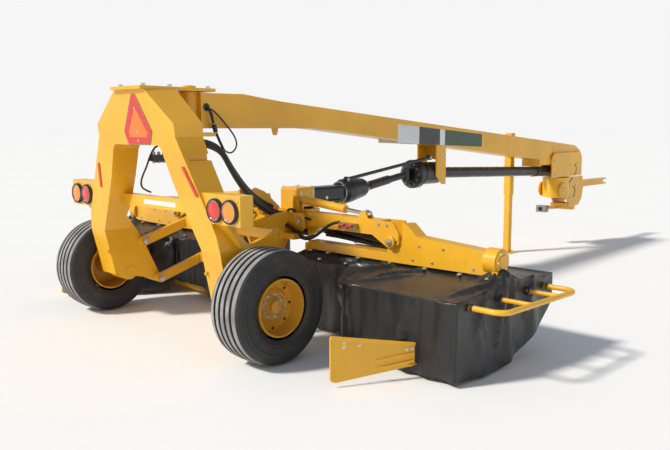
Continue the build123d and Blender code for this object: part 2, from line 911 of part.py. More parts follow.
lower_front = (lower_rear[0] + link_reach[0], lower_rear[1] + link_reach[1])
upper_front = (upper_rear[0] + link_reach[0], upper_rear[1] + link_reach[1])
tube_end = link_x - link_half_width - link_end_gap
with BuildPart() as carrier:
    for y, z in (lower_front, upper_front):
        block(
            (-tube_end, y - carrier_tube_half, z - carrier_tube_half),
            (tube_end, y + carrier_tube_half, z + carrier_tube_half),
        )
        pin_end = link_x + link_half_width + 12
        bar(spot(-pin_end, y, z), spot(pin_end, y, z), link_pin_radius)
    for x in (-carrier_plate_x, carrier_plate_x - carrier_plate_thickness):
        slab(
            side_plane(x),
            [
                (upper_front[0] - 40, upper_front[1] - 40),
                (upper_front[0] - 40, upper_front[1] + 60),
                (hinge_plate_back - 120, hinge_plate_high),
                (hinge_plate_front, hinge_plate_high),
                (hinge_plate_front, hinge_plate_low),
                (hinge_plate_back, hinge_plate_low),
                (lower_front[0] + 60, lower_front[1] - 40),
                (lower_front[0] - 40, lower_front[1] - 40),
            ],
            carrier_plate_thickness,
        )
    for y in (hinge_plate_back, hinge_plate_front - hinge_plate_thickness):
        slab(
            back_plane(y),
            [
                (-hinge_plate_half, 800),
                (-hinge_plate_half, 900),
                (-hinge_plate_half + 30, hinge_plate_high),
                (hinge_plate_half - 30, hinge_plate_high),
                (hinge_plate_half, 900),
                (hinge_plate_half, 800),
                (380, hinge_plate_low),
                (-380, hinge_plate_low),
            ],
            -hinge_plate_thickness,
        )
    for x in (-arm_hinge_x, arm_hinge_x):
        bar(
            spot(x, hinge_plate_back - 10, arm_hinge_z),
            spot(x, hinge_plate_front + 10, arm_hinge_z),
            arm_pin_radius,
        )
    # Shelf of the centre gearbox
    block(
        (-carrier_plate_x, hinge_plate_back, hinge_plate_low),
        (carrier_plate_x, gearbox_front, gearbox_low),
    )
    # Lugs of the lift cylinder's rod and of the two arm cylinders
    for x in (-42, 30):
        slab(
            side_plane(x),
            [
                (lift_eye[0] - 50, hinge_plate_high - 20),
                (lift_eye[0] - 35, lift_eye[1] + 25),
                (lift_eye[0] + 35, lift_eye[1] + 25),
                (hinge_plate_back + 60, hinge_plate_high - 20),
            ],
            lug_thickness,
        )
    block((-42, hinge_plate_back - 85, 880), (42, hinge_plate_back, hinge_plate_high))
    bar(spot(-42, *lift_eye), spot(42, *lift_eye), eye_pin_radius)
    ram_y = arm_back + arm_depth / 2
    for sign in (1, -1):
        for y in (ram_y - eye_half_width - 14, ram_y + eye_half_width + 2):
            slab(
                back_plane(y),
                [
                    (sign * (ram_base[0] - 60), hinge_plate_low + 60),
                    (sign * (ram_base[0] - 40), ram_base[1] + 22),
                    (sign * (ram_base[0] + 16), ram_base[1] + 22),
                    (sign * (ram_base[0] + 20), ram_base[1] - 30),
                    (sign * (ram_base[0] - 20), hinge_plate_low + 60),
                ],
                -lug_thickness,
            )
        bar(
            spot(sign * ram_base[0], ram_y - eye_half_width - 14, ram_base[1]),
            spot(sign * ram_base[0], ram_y + eye_half_width + 14, ram_base[1]),
            eye_pin_radius,
        )
        block(
            (sign * (ram_base[0] - 70), ram_y - 34, hinge_plate_low),
            (sign * (ram_base[0] - 20), ram_y + 34, hinge_plate_low + 80),
        )
carrier.part.label = "header_carrier"
export_step(carrier.part, "parts/header_carrier.step")

with BuildPart() as centre_gearbox:
    block((-gearbox_half, gearbox_back, gearbox_low), (gearbox_half, gearbox_front, gearbox_split))
    fillet(centre_gearbox.edges().filter_by(Axis.Z), 30)
    for sign in (1, -1):
        bar(
            spot(sign * (gearbox_half - 20), output_y, output_z + 25),
            spot(sign * (gearbox_half + 55), output_y, output_z + 25),
            50,
        )
centre_gearbox.part.label = "centre_gearbox"
export_step(centre_gearbox.part, "parts/centre_gearbox.step")

with BuildPart() as swivel_gearbox:
    block(
        (-swivel_box_half, gearbox_y - swivel_box_half, gearbox_split + 6),
        (swivel_box_half, gearbox_y + swivel_box_half, gearbox_high),
    )
    fillet(swivel_gearbox.edges().filter_by(Axis.Z), 35)
    fillet(swivel_gearbox.faces().sort_by(Axis.Z)[-1].edges(), 20)
    disc(level_plane(gearbox_split + 0.3), (0, gearbox_y), swivel_box_half - 15, 10)
swivel_gearbox.part.label = "swivel_gearbox"
export_step(swivel_gearbox.part, "parts/swivel_gearbox.step")

shield_start = spot(0, guard_end - 30, input_z)
shield_end = spot(0, joint_shield_end, input_z + 35)
shield_run = (shield_end - shield_start).length
with BuildPart() as input_guard:
    block((-88, gearbox_y + swivel_box_half + 0.3, input_z - 72), (88, guard_end, input_z + 72))
    fillet(input_guard.edges().filter_by(Axis.Y), 30)
    across = Vector(1, 0, 0)
    shield_plane = Plane(
        origin=shield_start,
        x_dir=across,
        z_dir=across.cross(shield_end - shield_start),
    )
    with BuildSketch(shield_plane) as section:
        with BuildLine():
            Polyline(
                (0, 0),
                (shield_radius - 30, 0),
                (shield_radius, 60),
                (shield_radius, 130),
                (shield_radius - 28, shield_run - 80),
                (50, shield_run),
                (0, shield_run),
                close=True,
            )
        make_face()
    revolve(axis=Axis(shield_start, shield_end - shield_start))
input_guard.part.label = "input_guard"
export_step(input_guard.part, "parts/input_guard.step")


def ram_barrel(base, eye, eye_plane, length):
    """A cylinder barrel from its base pin towards the rod eye, with its bore open at the gland."""
    along = (eye - base).normalized()
    bar(base, base + along * barrel_neck, eye_half_width - 2)
    bar(base + along * barrel_neck, base + along * length, barrel_radius)
    with BuildSketch(eye_plane) as ring:
        Circle(eye_radius)
    extrude(ring.sketch, amount=eye_half_width, both=True)
    bore_start = base + along * (barrel_neck + 15)
    bar(bore_start, base + along * (length + 1), rod_radius + gland_clearance, Mode.SUBTRACT)
    with BuildSketch(eye_plane) as hole:
        Circle(eye_pin_radius + link_pin_clearance)
    extrude(hole.sketch, amount=100, both=True, mode=Mode.SUBTRACT)


def ram_rod(base, eye, eye_plane, start):
    """A cylinder rod with its eye, whose bore leaves room for the drift of the opened pivot."""
    along = (eye - base).normalized()
    bar(base + along * start, eye - along * (open_eye_bore + 4), rod_radius)
    with BuildSketch(eye_plane) as ring:
        Circle(eye_radius + 2)
    extrude(ring.sketch, amount=eye_half_width, both=True)
    with BuildSketch(eye_plane) as hole:
        Circle(open_eye_bore)
    extrude(hole.sketch, amount=100, both=True, mode=Mode.SUBTRACT)


lift_base_point = spot(0, *lift_base)
lift_eye_point = spot(0, *lift_eye)
lift_base_plane = Plane(origin=lift_base_point, z_dir=(1, 0, 0))
lift_eye_plane = Plane(origin=lift_eye_point, z_dir=(1, 0, 0))
lift_barrel_length = 700
lift_rod_start = 200
with BuildPart() as lift_barrel:
    ram_barrel(lift_base_point, lift_eye_point, lift_base_plane, lift_barrel_length)
lift_barrel.part.label = "lift_cylinder_barrel"
export_step(lift_barrel.part, "parts/lift_cylinder_barrel.step")

with BuildPart() as lift_rod:
    ram_rod(lift_base_point, lift_eye_point, lift_eye_plane, lift_rod_start)
lift_rod.part.label = "lift_cylinder_rod"
export_step(lift_rod.part, "parts/lift_cylinder_rod.step")

# Bed arms with their cylinders and cross shafts, then the beds

arm_barrel_length = 560
arm_rod_start = 180
for side, sign in (("right", 1), ("left", -1)):

    def flip(outline):
        """An outline in x and height, turned to this side."""
        return [(sign * x, z) for x, z in outline]

    with BuildPart() as arm:
        slab(
            back_plane(arm_back),
            flip(
                [
                    (arm_hinge_x, arm_hinge_z - arm_boss_radius),
                    (arm_hinge_x + 120, arm_low),
                    (arm_box_end, arm_low),
                    (arm_box_end, arm_high),
                    (arm_hinge_x + 60, arm_high),
                    (arm_hinge_x, arm_hinge_z + arm_boss_radius),
                ]
            ),
            -arm_depth,
        )
        block(
            (sign * (arm_hinge_x - 60), arm_back - 1, 700),
            (sign * (arm_hinge_x + 70), arm_back + arm_side_gap, 1000),
            Mode.SUBTRACT,
        )
        block(
            (sign * (arm_hinge_x - 60), arm_back + arm_depth - arm_side_gap, 700),
            (sign * (arm_hinge_x + 70), arm_back + arm_depth + 1, 1000),
            Mode.SUBTRACT,
        )
        disc(
            back_plane(arm_back + arm_side_gap),
            (sign * arm_hinge_x, arm_hinge_z),
            arm_boss_radius,
            -(arm_depth - 2 * arm_side_gap),
        )
        plate_outline = [
            (arm_box_end - 70, arm_low + 5),
            (arm_box_end - 50, arm_high),
            (arm_plate_end - 60, arm_high),
            (arm_plate_end, 850),
            (arm_plate_end, 770),
            (arm_plate_end - 40, 732),
            (arm_plate_end - 110, 732),
        ]
        for y in (arm_back - arm_plate_thickness, arm_back + arm_depth):
            slab(back_plane(y), flip(plate_outline), -arm_plate_thickness)
        bar(
            spot(sign * bed_pivot_x, arm_back - arm_plate_thickness - 12, bed_pivot_z),
            spot(sign * bed_pivot_x, arm_back + arm_depth + arm_plate_thickness + 12, bed_pivot_z),
            arm_pin_radius,
        )
        for y in (ram_y - eye_half_width - 17, ram_y + eye_half_width + 5):
            slab(
                back_plane(y),
                flip(
                    [
                        (ram_eye[0] - 60, arm_high - 20),
                        (ram_eye[0] - 22, ram_eye[1] + 22),
                        (ram_eye[0] + 22, ram_eye[1] + 22),
                        (ram_eye[0] + 60, arm_high - 20),
                    ]
                ),
                -lug_thickness,
            )
        bar(
            spot(sign * ram_eye[0], ram_y - eye_half_width - 17, ram_eye[1]),
            spot(sign * ram_eye[0], ram_y + eye_half_width + 17, ram_eye[1]),
            eye_pin_radius,
        )
        # Slot in the arm's top where the rod's eye hangs
        block(
            (sign * (ram_eye[0] - 50), ram_y - eye_half_width - 3, arm_high - 30),
            (sign * (ram_eye[0] + 45), ram_y + eye_half_width + 3, arm_high + 10),
            Mode.SUBTRACT,
        )
        bar(
            spot(sign * arm_hinge_x, 900, arm_hinge_z),
            spot(sign * arm_hinge_x, 1300, arm_hinge_z),
            arm_pin_radius + arm_pin_clearance,
            Mode.SUBTRACT,
        )
    arm.part.label = f"{side}_arm"
    export_step(arm.part, f"parts/{side}_arm.step")

    base = spot(sign * ram_base[0], ram_y, ram_base[1])
    eye = spot(sign * ram_eye[0], ram_y, ram_eye[1])
    with BuildPart() as arm_barrel:
        ram_barrel(base, eye, Plane(origin=base, z_dir=(0, 1, 0)), arm_barrel_length)
    arm_barrel.part.label = f"{side}_arm_cylinder_barrel"
    export_step(arm_barrel.part, f"parts/{side}_arm_cylinder_barrel.step")

    with BuildPart() as arm_rod:
        ram_rod(base, eye, Plane(origin=eye, z_dir=(0, 1, 0)), arm_rod_start)
    arm_rod.part.label = f"{side}_arm_cylinder_rod"
    export_step(arm_rod.part, f"parts/{side}_arm_cylinder_rod.step")

    with BuildPart() as cross_shaft:
        bar(
            spot(sign * (arm_hinge_x + 60), output_y, output_z + 12),
            spot(sign * 1270, output_y, output_z - 12),
            38,
        )
        block(
            (sign * 640, arm_back + arm_depth, arm_low + 10),
            (sign * 680, output_y + 20, arm_low + 40),
        )
        block((sign * 640, output_y - 20, output_z), (sign * 680, output_y + 20, arm_low + 40))
    cross_shaft.part.label = f"{side}_cross_shaft"
    export_step(cross_shaft.part, f"parts/{side}_cross_shaft.step")

    # Bed frame: a low beam inboard, a tall box outboard with the peaked lug, and the end hub
    with BuildPart() as bed_frame:
        beam = [
            (inner_post_x + 2, bed_beam_low),
            (inner_post_x + 2, bed_beam_high),
            (bed_pivot_x - 60, bed_beam_high),
            (bed_pivot_x - bed_boss_radius, bed_pivot_z),
            (bed_pivot_x + bed_boss_radius, bed_pivot_z),
            (arm_plate_end + 15, 800),
            (arm_plate_end + 15, 925),
            (arm_plate_end + 55, 925),
            (arm_plate_end + 160, bed_arm_high + 12),
            (bed_arm_end, bed_arm_high - 25),
            (bed_hub_x - 20, bed_arm_high - 35),
            (bed_hub_x - 20, bed_beam_low + 25),
            (bed_arm_end, bed_beam_low + 10),
            (arm_plate_end, bed_beam_low),
        ]
        slab(back_plane(arm_back + arm_side_gap), flip(beam), -(arm_depth - 2 * arm_side_gap))
        disc(
            back_plane(arm_back + arm_side_gap),
            (sign * bed_pivot_x, bed_pivot_z),
            bed_boss_radius,
            -(arm_depth - 2 * arm_side_gap),
        )
        bar(
            spot(sign * (bed_hub_x - 50), ram_y, bed_hub_z),
            spot(sign * (bed_hub_x + 50), ram_y, bed_hub_z),
            bed_hub_radius,
        )
        # Gearbox beside the pivot, fed by the cross shaft
        block((sign * 1300, arm_back + arm_depth + arm_plate_thickness + 16, 640), (sign * 1480, 1300, 800))
        block((sign * 1320, ram_y, 640), (sign * 1460, 1200, 690))
        # Posts down to the cutterbar at both ends
        for x in (inner_post_x, outer_post_x):
            block(
                (sign * (x - post_half), cutterbar_y - post_half_depth, cutterbar_high),
                (sign * (x + post_half), cutterbar_y + post_half_depth, bed_beam_high - 20),
            )
        # Plate inside the cover's outer end that holds the bumper tube
        block(
            (sign * (outer_post_x + post_half - 2), cutterbar_y - 30, bumper_z - 40),
            (sign * end_plate_x, cutterbar_y + 30, bumper_z + 40),
        )
        block(
            (sign * (end_plate_x - end_plate_thickness), bed_back + 60, bumper_z - 45),
            (sign * end_plate_x, bumper_front + 40, bumper_z + 35),
        )
        bar(
            spot(sign * bed_pivot_x, 900, bed_pivot_z),
            spot(sign * bed_pivot_x, 1300, bed_pivot_z),
            arm_pin_radius + arm_pin_clearance,
            Mode.SUBTRACT,
        )
    bed_frame.part.label = f"{side}_bed_frame"
    export_step(bed_frame.part, f"parts/{side}_bed_frame.step")

    # Cutterbar: flat gear case with rounded ends of the front edge and the disc spindles
    with BuildPart() as cutterbar:
        slab(
            side_plane(sign * (bed_inner + 15)),
            [
                (cutterbar_y - cutterbar_half, cutterbar_low + 25),
                (cutterbar_y - cutterbar_half + 30, cutterbar_low),
                (cutterbar_y + cutterbar_half - 60, cutterbar_low),
                (cutterbar_y + cutterbar_half, cutterbar_low + 30),
                (cutterbar_y + cutterbar_half - 20, cutterbar_high),
                (cutterbar_y - cutterbar_half, cutterbar_high),
            ],
            sign * (outer_post_x + post_half - bed_inner - 15),
        )
        for index in range(disc_count):
            disc(
                level_plane(cutterbar_high),
                (sign * (first_disc_x + index * disc_pitch), spindle_y),
                disc_spindle_radius,
                disc_low - cutterbar_high - 0.3,
            )
    cutterbar.part.label = f"{side}_cutterbar"
    export_step(cutterbar.part, f"parts/{side}_cutterbar.step")

    for index in range(disc_count):
        disc_x = sign * (first_disc_x + index * disc_pitch)
        with BuildPart() as cutter_disc:
            disc(level_plane(disc_low), (disc_x, spindle_y), disc_radius, disc_plate)
            with BuildSketch(level_plane(disc_low + disc_plate)) as skirt:
                with Locations((disc_x, spindle_y)):
                    Circle(disc_radius)
            extrude(skirt.sketch, amount=disc_high - disc_low - disc_plate, taper=60)
            # The two knives, as one flat strip through the disc
            block(
                (disc_x - knife_half_width, spindle_y - disc_tip_radius, disc_low),
                (disc_x + knife_half_width, spindle_y + disc_tip_radius, disc_low + 6),
            )
        cutter_disc.part.label = f"{side}_cutter_disc_{index + 1}"
        export_step(cutter_disc.part, f"parts/{side}_cutter_disc_{index + 1}.step")

    # Canvas cover: a hood open below, with a recess that clears the wheel
    def hood(back_y, back_hem, wall, inner_x, outer_x, mode):
        """One stretch of the hood, or its hollow when wall is over nought."""
        drop = cover_front_hem if wall else 0
        crease = crease_z if back_y == bed_back else crease_z + 25
        outline = [
            (back_y + wall, back_hem - drop),
            (back_y + wall, crease - wall),
            (ridge_y, ridge_z - wall),
            (bed_front - wall, cover_front_z - wall),
            (bed_front - wall, cover_front_hem - drop),
            (1500, 300 - drop),
            (1250, 130 - drop),
            (950, 30 - drop),
        ]
        slab(side_plane(sign * inner_x), outline, sign * (outer_x - inner_x), mode)

    with BuildPart() as cover:
        hood(bed_recess_back, recess_hem_z, 0, bed_inner, recess_x + 100, Mode.ADD)
        hood(bed_back, hem_z, 0, recess_x, bed_outer, Mode.ADD)
        inside_end = bed_outer - cover_wall
        hood(bed_recess_back, recess_hem_z, cover_wall, bed_inner + cover_wall, inside_end, Mode.SUBTRACT)
        hood(bed_back, hem_z, cover_wall, recess_x + cover_wall, inside_end, Mode.SUBTRACT)
        for x in (inner_post_x, outer_post_x):
            block(
                (sign * (x - post_half - 1), cutterbar_y - post_half_depth - 1, 500),
                (sign * (x + post_half + 1), cutterbar_y + post_half_depth + 1, 700),
                Mode.SUBTRACT,
            )
        for y in (bumper_back, *bumper_cross_ys, bumper_front):
            bar(
                spot(sign * (bed_outer - 40), y, bumper_z),
                spot(sign * (bed_outer + 40), y, bumper_z),
                bumper_radius + 3,
                Mode.SUBTRACT,
            )
        block(
            (sign * (board_outer[0] - 40), bed_back - 10, 60),
            (sign * (board_outer[0] + 40), bed_back + 20, 140),
            Mode.SUBTRACT,
        )
    cover.part.label = f"{side}_canvas_cover"
    export_step(cover.part, f"parts/{side}_canvas_cover.step")

    with BuildPart() as bumper:
        with BuildLine() as loop_path:
            FilletPolyline(
                spot(sign * end_plate_x, bumper_back, bumper_z),
                spot(sign * bumper_x, bumper_back, bumper_z),
                spot(sign * bumper_x, bumper_front, bumper_z),
                spot(sign * end_plate_x, bumper_front, bumper_z),
                radius=bumper_bend,
            )
        with BuildSketch(Plane(origin=loop_path.line @ 0, z_dir=loop_path.line % 0)):
            Circle(bumper_radius)
        sweep()
        for y in bumper_cross_ys:
            cross_root = spot(sign * end_plate_x, y, bumper_z)
            bar(cross_root, spot(sign * bumper_x, y, bumper_z), bumper_radius - 3)
    bumper.part.label = f"{side}_bumper"
    export_step(bumper.part, f"parts/{side}_bumper.step")

    # Swath board, held by a flat arm from the cutterbar's rear
    board_run = Vector(board_outer[0] - board_inner[0], board_outer[1] - board_inner[1])
    board_length = board_run.length
    with BuildPart() as board:
        # Drawn along the board's own slanting line
        board_plane = Plane(
            origin=spot(sign * board_inner[0], board_inner[1], 0),
            x_dir=(sign * board_run.X, board_run.Y, 0),
            z_dir=(board_run.Y, -sign * board_run.X, 0),
        )
        slab(
            board_plane,
            [
                (0, 45),
                (0, 330),
                (board_length, 235),
                (board_length, 90),
                (30, 30),
            ],
            board_thickness,
        )
        block(
            (sign * (board_outer[0] - 25), board_outer[1] - 45, board_arm_low),
            (sign * (board_outer[0] + 12), cutterbar_y - cutterbar_half + 40, board_arm_high),
        )
        block(
            (sign * (board_outer[0] - 25), cutterbar_y - cutterbar_half, cutterbar_high),
            (sign * (board_outer[0] + 12), cutterbar_y - cutterbar_half + 40, board_arm_high),
        )
    board.part.label = f"{side}_swath_board"
    export_step(board.part, f"parts/{side}_swath_board.step")
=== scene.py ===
import json
from math import cos, hypot, pi, radians, sin

import bmesh
import bpy
import numpy as np
from mathutils import Matrix, Vector


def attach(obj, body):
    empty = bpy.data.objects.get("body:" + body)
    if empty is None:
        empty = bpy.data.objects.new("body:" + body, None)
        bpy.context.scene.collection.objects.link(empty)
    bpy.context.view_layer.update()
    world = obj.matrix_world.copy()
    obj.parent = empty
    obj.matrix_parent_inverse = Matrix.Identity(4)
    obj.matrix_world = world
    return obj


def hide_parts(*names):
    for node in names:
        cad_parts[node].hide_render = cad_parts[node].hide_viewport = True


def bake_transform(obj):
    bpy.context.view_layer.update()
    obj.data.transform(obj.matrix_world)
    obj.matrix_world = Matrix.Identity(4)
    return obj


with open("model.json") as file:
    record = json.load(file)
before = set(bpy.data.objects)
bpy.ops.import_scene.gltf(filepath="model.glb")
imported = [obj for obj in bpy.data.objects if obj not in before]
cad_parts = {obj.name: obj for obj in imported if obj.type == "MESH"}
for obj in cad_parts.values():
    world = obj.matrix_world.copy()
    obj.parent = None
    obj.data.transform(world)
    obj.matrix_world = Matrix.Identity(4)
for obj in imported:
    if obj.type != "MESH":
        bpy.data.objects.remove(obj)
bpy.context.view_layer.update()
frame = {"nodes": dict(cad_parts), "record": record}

nodes = frame["nodes"]
scene = bpy.context.scene

# Sizes of the machine, in metres. Every y is counted from the wheel axle.
AXLE_Y = -3.595
TYRE_RADIUS = 0.41
WHEEL_X = 1.145
ARCH_TOP = 1.92
ARCH_BACK_TOP = (-0.371, 1.92)
ARCH_BACK_KNEE = (-0.235, 0.78)
TONGUE_HALF = 0.13
BED_INNER = 0.45
BED_OUTER = 2.42
DRIVE_Z = 1.14
SIDES = (("right", 1), ("left", -1))

up = Vector((0, 0, 1))
ahead = Vector((0, 1, 0))
right = Vector((1, 0, 0))


def at(x, y, z):
    """A point whose y is counted from the wheel axle."""
    return Vector((x, AXLE_Y + y, z))


# Materials


def new_material(name):
    """An empty material with a principled shader, and its node tree."""
    material = bpy.data.materials.new(name)
    material.use_nodes = True
    tree = material.node_tree
    shader = next(n for n in tree.nodes if n.type == "BSDF_PRINCIPLED")
    return material, tree, shader


def noise(tree, scale, detail=4.0, roughness=0.55, stretch=(1, 1, 1)):
    """Noise in the piece's own space."""
    place = tree.nodes.new("ShaderNodeTexCoord")
    mapping = tree.nodes.new("ShaderNodeMapping")
    mapping.inputs["Scale"].default_value = stretch
    texture = tree.nodes.new("ShaderNodeTexNoise")
    texture.inputs["Scale"].default_value = scale
    texture.inputs["Detail"].default_value = detail
    texture.inputs["Roughness"].default_value = roughness
    tree.links.new(place.outputs["Object"], mapping.inputs["Vector"])
    tree.links.new(mapping.outputs["Vector"], texture.inputs["Vector"])
    return texture.outputs["Fac"]


def ramp(tree, value, stops):
    """Colours along a value, from a list of (place, colour)."""
    node = tree.nodes.new("ShaderNodeValToRGB")
    points = node.color_ramp.elements
    while len(points) < len(stops):
        points.new(0.5)
    for point, (place, colour) in zip(points, stops):
        point.position = place
        point.color = (*colour, 1)
    tree.links.new(value, node.inputs["Fac"])
    return node.outputs["Color"]


def mix(tree, share, first, second):
    """The second colour over the first, where share is high."""
    node = tree.nodes.new("ShaderNodeMix")
    node.data_type = "RGBA"
    tree.links.new(share, node.inputs["Factor"])
    for socket, value in ((node.inputs["A"], first), (node.inputs["B"], second)):
        if isinstance(value, tuple):
            socket.default_value = (*value, 1)
        else:
            tree.links.new(value, socket)
    return node.outputs["Result"]


def grey(value):
    return (value, value, value)


def bump(tree, shader, height, strength, distance):
    node = tree.nodes.new("ShaderNodeBump")
    node.inputs["Strength"].default_value = strength
    node.inputs["Distance"].default_value = distance
    tree.links.new(height, node.inputs["Height"])
    tree.links.new(node.outputs["Normal"], shader.inputs["Normal"])


def coated(
    name, dark, light, rough, metallic=0.0, coat=0.0, grain=180, grain_strength=0.15, mottle=1.6, dust=None
):
    """A finish with slow changes of tone, uneven gloss, a fine grain and maybe patches of dust."""
    material, tree, shader = new_material(name)
    slow = noise(tree, mottle, 6)
    colour = ramp(tree, slow, [(0.32, dark), (0.68, light)])
    if dust:
        amount, dust_colour = dust
        patches = ramp(tree, noise(tree, 7, 8, 0.7), [(0.5, grey(0)), (0.82, grey(amount))])
        colour = mix(tree, patches, colour, dust_colour)
    tree.links.new(colour, shader.inputs["Base Color"])
    uneven = noise(tree, 9, 5)
    spread = ramp(tree, uneven, [(0.3, grey(max(0.02, rough - 0.08))), (0.7, grey(min(1, rough + 0.1)))])
    tree.links.new(spread, shader.inputs["Roughness"])
    shader.inputs["Metallic"].default_value = metallic
    shader.inputs["Coat Weight"].default_value = coat
    shader.inputs["Coat Roughness"].default_value = 0.2
    bump(tree, shader, noise(tree, grain, 2), grain_strength, 0.0006)
    return material


def canvas_finish():
    """Coated canvas: a glossy black weave with small creases, and bluish-grey patches that are partly dust
    and partly a painted sky reflection.
    """
    material, tree, shader = new_material("black canvas")
    tone = ramp(tree, noise(tree, 2.2, 6), [(0.3, (0.008, 0.008, 0.009)), (0.7, (0.018, 0.018, 0.02))])
    # Bluish-grey patches: partly dust, partly painted sky reflection.
    dust_and_sky_sheen = ramp(tree, noise(tree, 5, 8, 0.7), [(0.5, grey(0)), (0.85, grey(0.2))])
    tree.links.new(mix(tree, dust_and_sky_sheen, tone, (0.07, 0.076, 0.082)), shader.inputs["Base Color"])
    gloss = ramp(tree, noise(tree, 6, 5), [(0.3, grey(0.3)), (0.7, grey(0.44))])
    tree.links.new(gloss, shader.inputs["Roughness"])
    shader.inputs["Sheen Weight"].default_value = 0.04
    shader.inputs["Specular IOR Level"].default_value = 0.4
    shader.inputs["Coat Weight"].default_value = 0.28
    shader.inputs["Coat Roughness"].default_value = 0.22
    place = tree.nodes.new("ShaderNodeTexCoord")
    weave = tree.nodes.new("ShaderNodeTexWave")
    weave.inputs["Scale"].default_value = 260
    weave.inputs["Distortion"].default_value = 1.5
    tree.links.new(place.outputs["Object"], weave.inputs["Vector"])
    crease = noise(tree, 7, 5, 0.6, (1, 2.2, 1))
    total = tree.nodes.new("ShaderNodeMath")
    total.operation = "MULTIPLY_ADD"
    tree.links.new(weave.outputs["Fac"], total.inputs[0])
    total.inputs[1].default_value = 0.02
    tree.links.new(crease, total.inputs[2])
    bump(tree, shader, total.outputs["Value"], 0.75, 0.014)
    return material


golden = coated(
    "golden paint", (0.74, 0.365, 0.012), (0.88, 0.475, 0.02), 0.36, coat=0.2,
    dust=(0.2, (0.44, 0.27, 0.07)),
)
# Wheel paint: a darker copy of the golden paint, as painted shade on the rims and hub caps; its patches
# are dust.
shaded_wheel_golden = coated(
    "wheel paint", (0.5, 0.235, 0.016), (0.66, 0.33, 0.024), 0.42, dust=(0.5, (0.26, 0.17, 0.08))
)
canvas = canvas_finish()
rubber = coated(
    "tyre rubber", (0.014, 0.015, 0.017), (0.034, 0.034, 0.035), 0.55, grain=400,
    dust=(0.35, (0.1, 0.095, 0.085)),
)
worn_rubber = coated(
    "worn tread", grey(0.2), (0.38, 0.375, 0.365), 0.85, grain=500, grain_strength=0.5, mottle=9
)
groove_rubber = coated("tread groove", grey(0.035), (0.08, 0.078, 0.075), 0.9, grain=300, mottle=5)
black_metal = coated("black enamel", (0.008, 0.008, 0.009), (0.02, 0.02, 0.022), 0.35, coat=0.2)
black_plastic = coated(
    "black shielding", (0.012, 0.013, 0.016), (0.024, 0.026, 0.032), 0.3,
    dust=(0.25, (0.09, 0.085, 0.075)),
)
hose_rubber = coated("hose rubber", (0.01, 0.01, 0.011), (0.022, 0.022, 0.023), 0.45, grain=700)
steel = coated("bare steel", (0.26, 0.26, 0.25), (0.42, 0.41, 0.39), 0.38, metallic=1.0)
zinc = coated("zinc plate", (0.58, 0.55, 0.46), (0.74, 0.71, 0.62), 0.34, metallic=0.9, mottle=30)
chrome = coated(
    "chrome rod", (0.62, 0.62, 0.63), (0.74, 0.74, 0.75), 0.08, metallic=1.0, grain_strength=0.02
)
red_lens = coated("red lens", (0.5, 0.02, 0.01), (0.7, 0.04, 0.02), 0.2, coat=0.6, grain=60)
amber_lens = coated("amber lens", (0.85, 0.2, 0.01), (0.98, 0.32, 0.015), 0.2, coat=0.6, grain=60)
orange_film = coated("orange film", (0.92, 0.17, 0.025), (1.0, 0.23, 0.035), 0.45)
red_film = coated("red reflector", (0.52, 0.01, 0.008), (0.72, 0.022, 0.015), 0.3, coat=0.4, grain=90)
red_cap = coated("red cap", (0.7, 0.02, 0.012), (0.82, 0.035, 0.02), 0.35)
bare_decal = coated("blank white film", (0.62, 0.64, 0.66), (0.78, 0.79, 0.8), 0.32, coat=0.3)
black_decal = coated("blank black film", (0.012, 0.012, 0.013), (0.02, 0.02, 0.02), 0.3, coat=0.3)
green_decal = coated("blank green film", (0.006, 0.052, 0.02), (0.01, 0.07, 0.03), 0.32, coat=0.3)
# Near-black discs laid into holes and slots: painted shade inside them.
hole_shade_paint = coated("hole in shade", grey(0.004), grey(0.01), 0.8)

finish_of = {
    "golden_paint": golden,
    "rim_paint": shaded_wheel_golden,
    "black_canvas": canvas,
    "tyre_rubber": rubber,
    "black_paint": black_metal,
    "black_plastic": black_plastic,
    "bare_steel": steel,
    "chrome_rod": chrome,
    "red_lens": red_lens,
    "amber_lens": amber_lens,
    "orange_sign": orange_film,
}
slot_of = {part["node"]: part["material_slot"] for part in frame["record"]["subparts"]}
for name, obj in nodes.items():
    obj.data.materials.clear()
    obj.data.materials.append(finish_of[slot_of[name]])

# Shapes


def new_object(name, data):
    obj = bpy.data.objects.new(name, data)
    scene.collection.objects.link(obj)
    return obj


def piece(name, mesh, finishes, body, smooth_angle=35):
    """Turns a built mesh into a piece that rides on a body."""
    bmesh.ops.recalc_face_normals(mesh, faces=mesh.faces)
    data = bpy.data.meshes.new(name)
    mesh.to_mesh(data)
    mesh.free()
    for material in finishes:
        data.materials.append(material)
    obj = new_object(name, data)
    data.shade_smooth()
    data.set_sharp_from_angle(angle=radians(smooth_angle))
    if body:
        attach(obj, body)
    return obj


def round_edges(obj, width):
    """Small rounding along every sharp edge."""
    modifier = obj.modifiers.new("rounding", "BEVEL")
    modifier.width = width
    modifier.segments = 2
    modifier.limit_method = "ANGLE"
    modifier.angle_limit = radians(38)
    modifier.harden_normals = True
    modifier.use_clamp_overlap = True


def band(mesh, low, high, material=0):
    """Faces between two closed rings of points."""
    for index in range(len(low)):
        after = (index + 1) % len(low)
        face = mesh.faces.new((low[index], low[after], high[after], high[index]))
        face.material_index = material


def close_tube(mesh, rings, material=0):
    """Faces between rings, and a face over each end."""
    for low, high in zip(rings, rings[1:]):
        band(mesh, low, high, material)
    for ring in (rings[0], rings[-1]):
        mesh.faces.new(ring).material_index = material


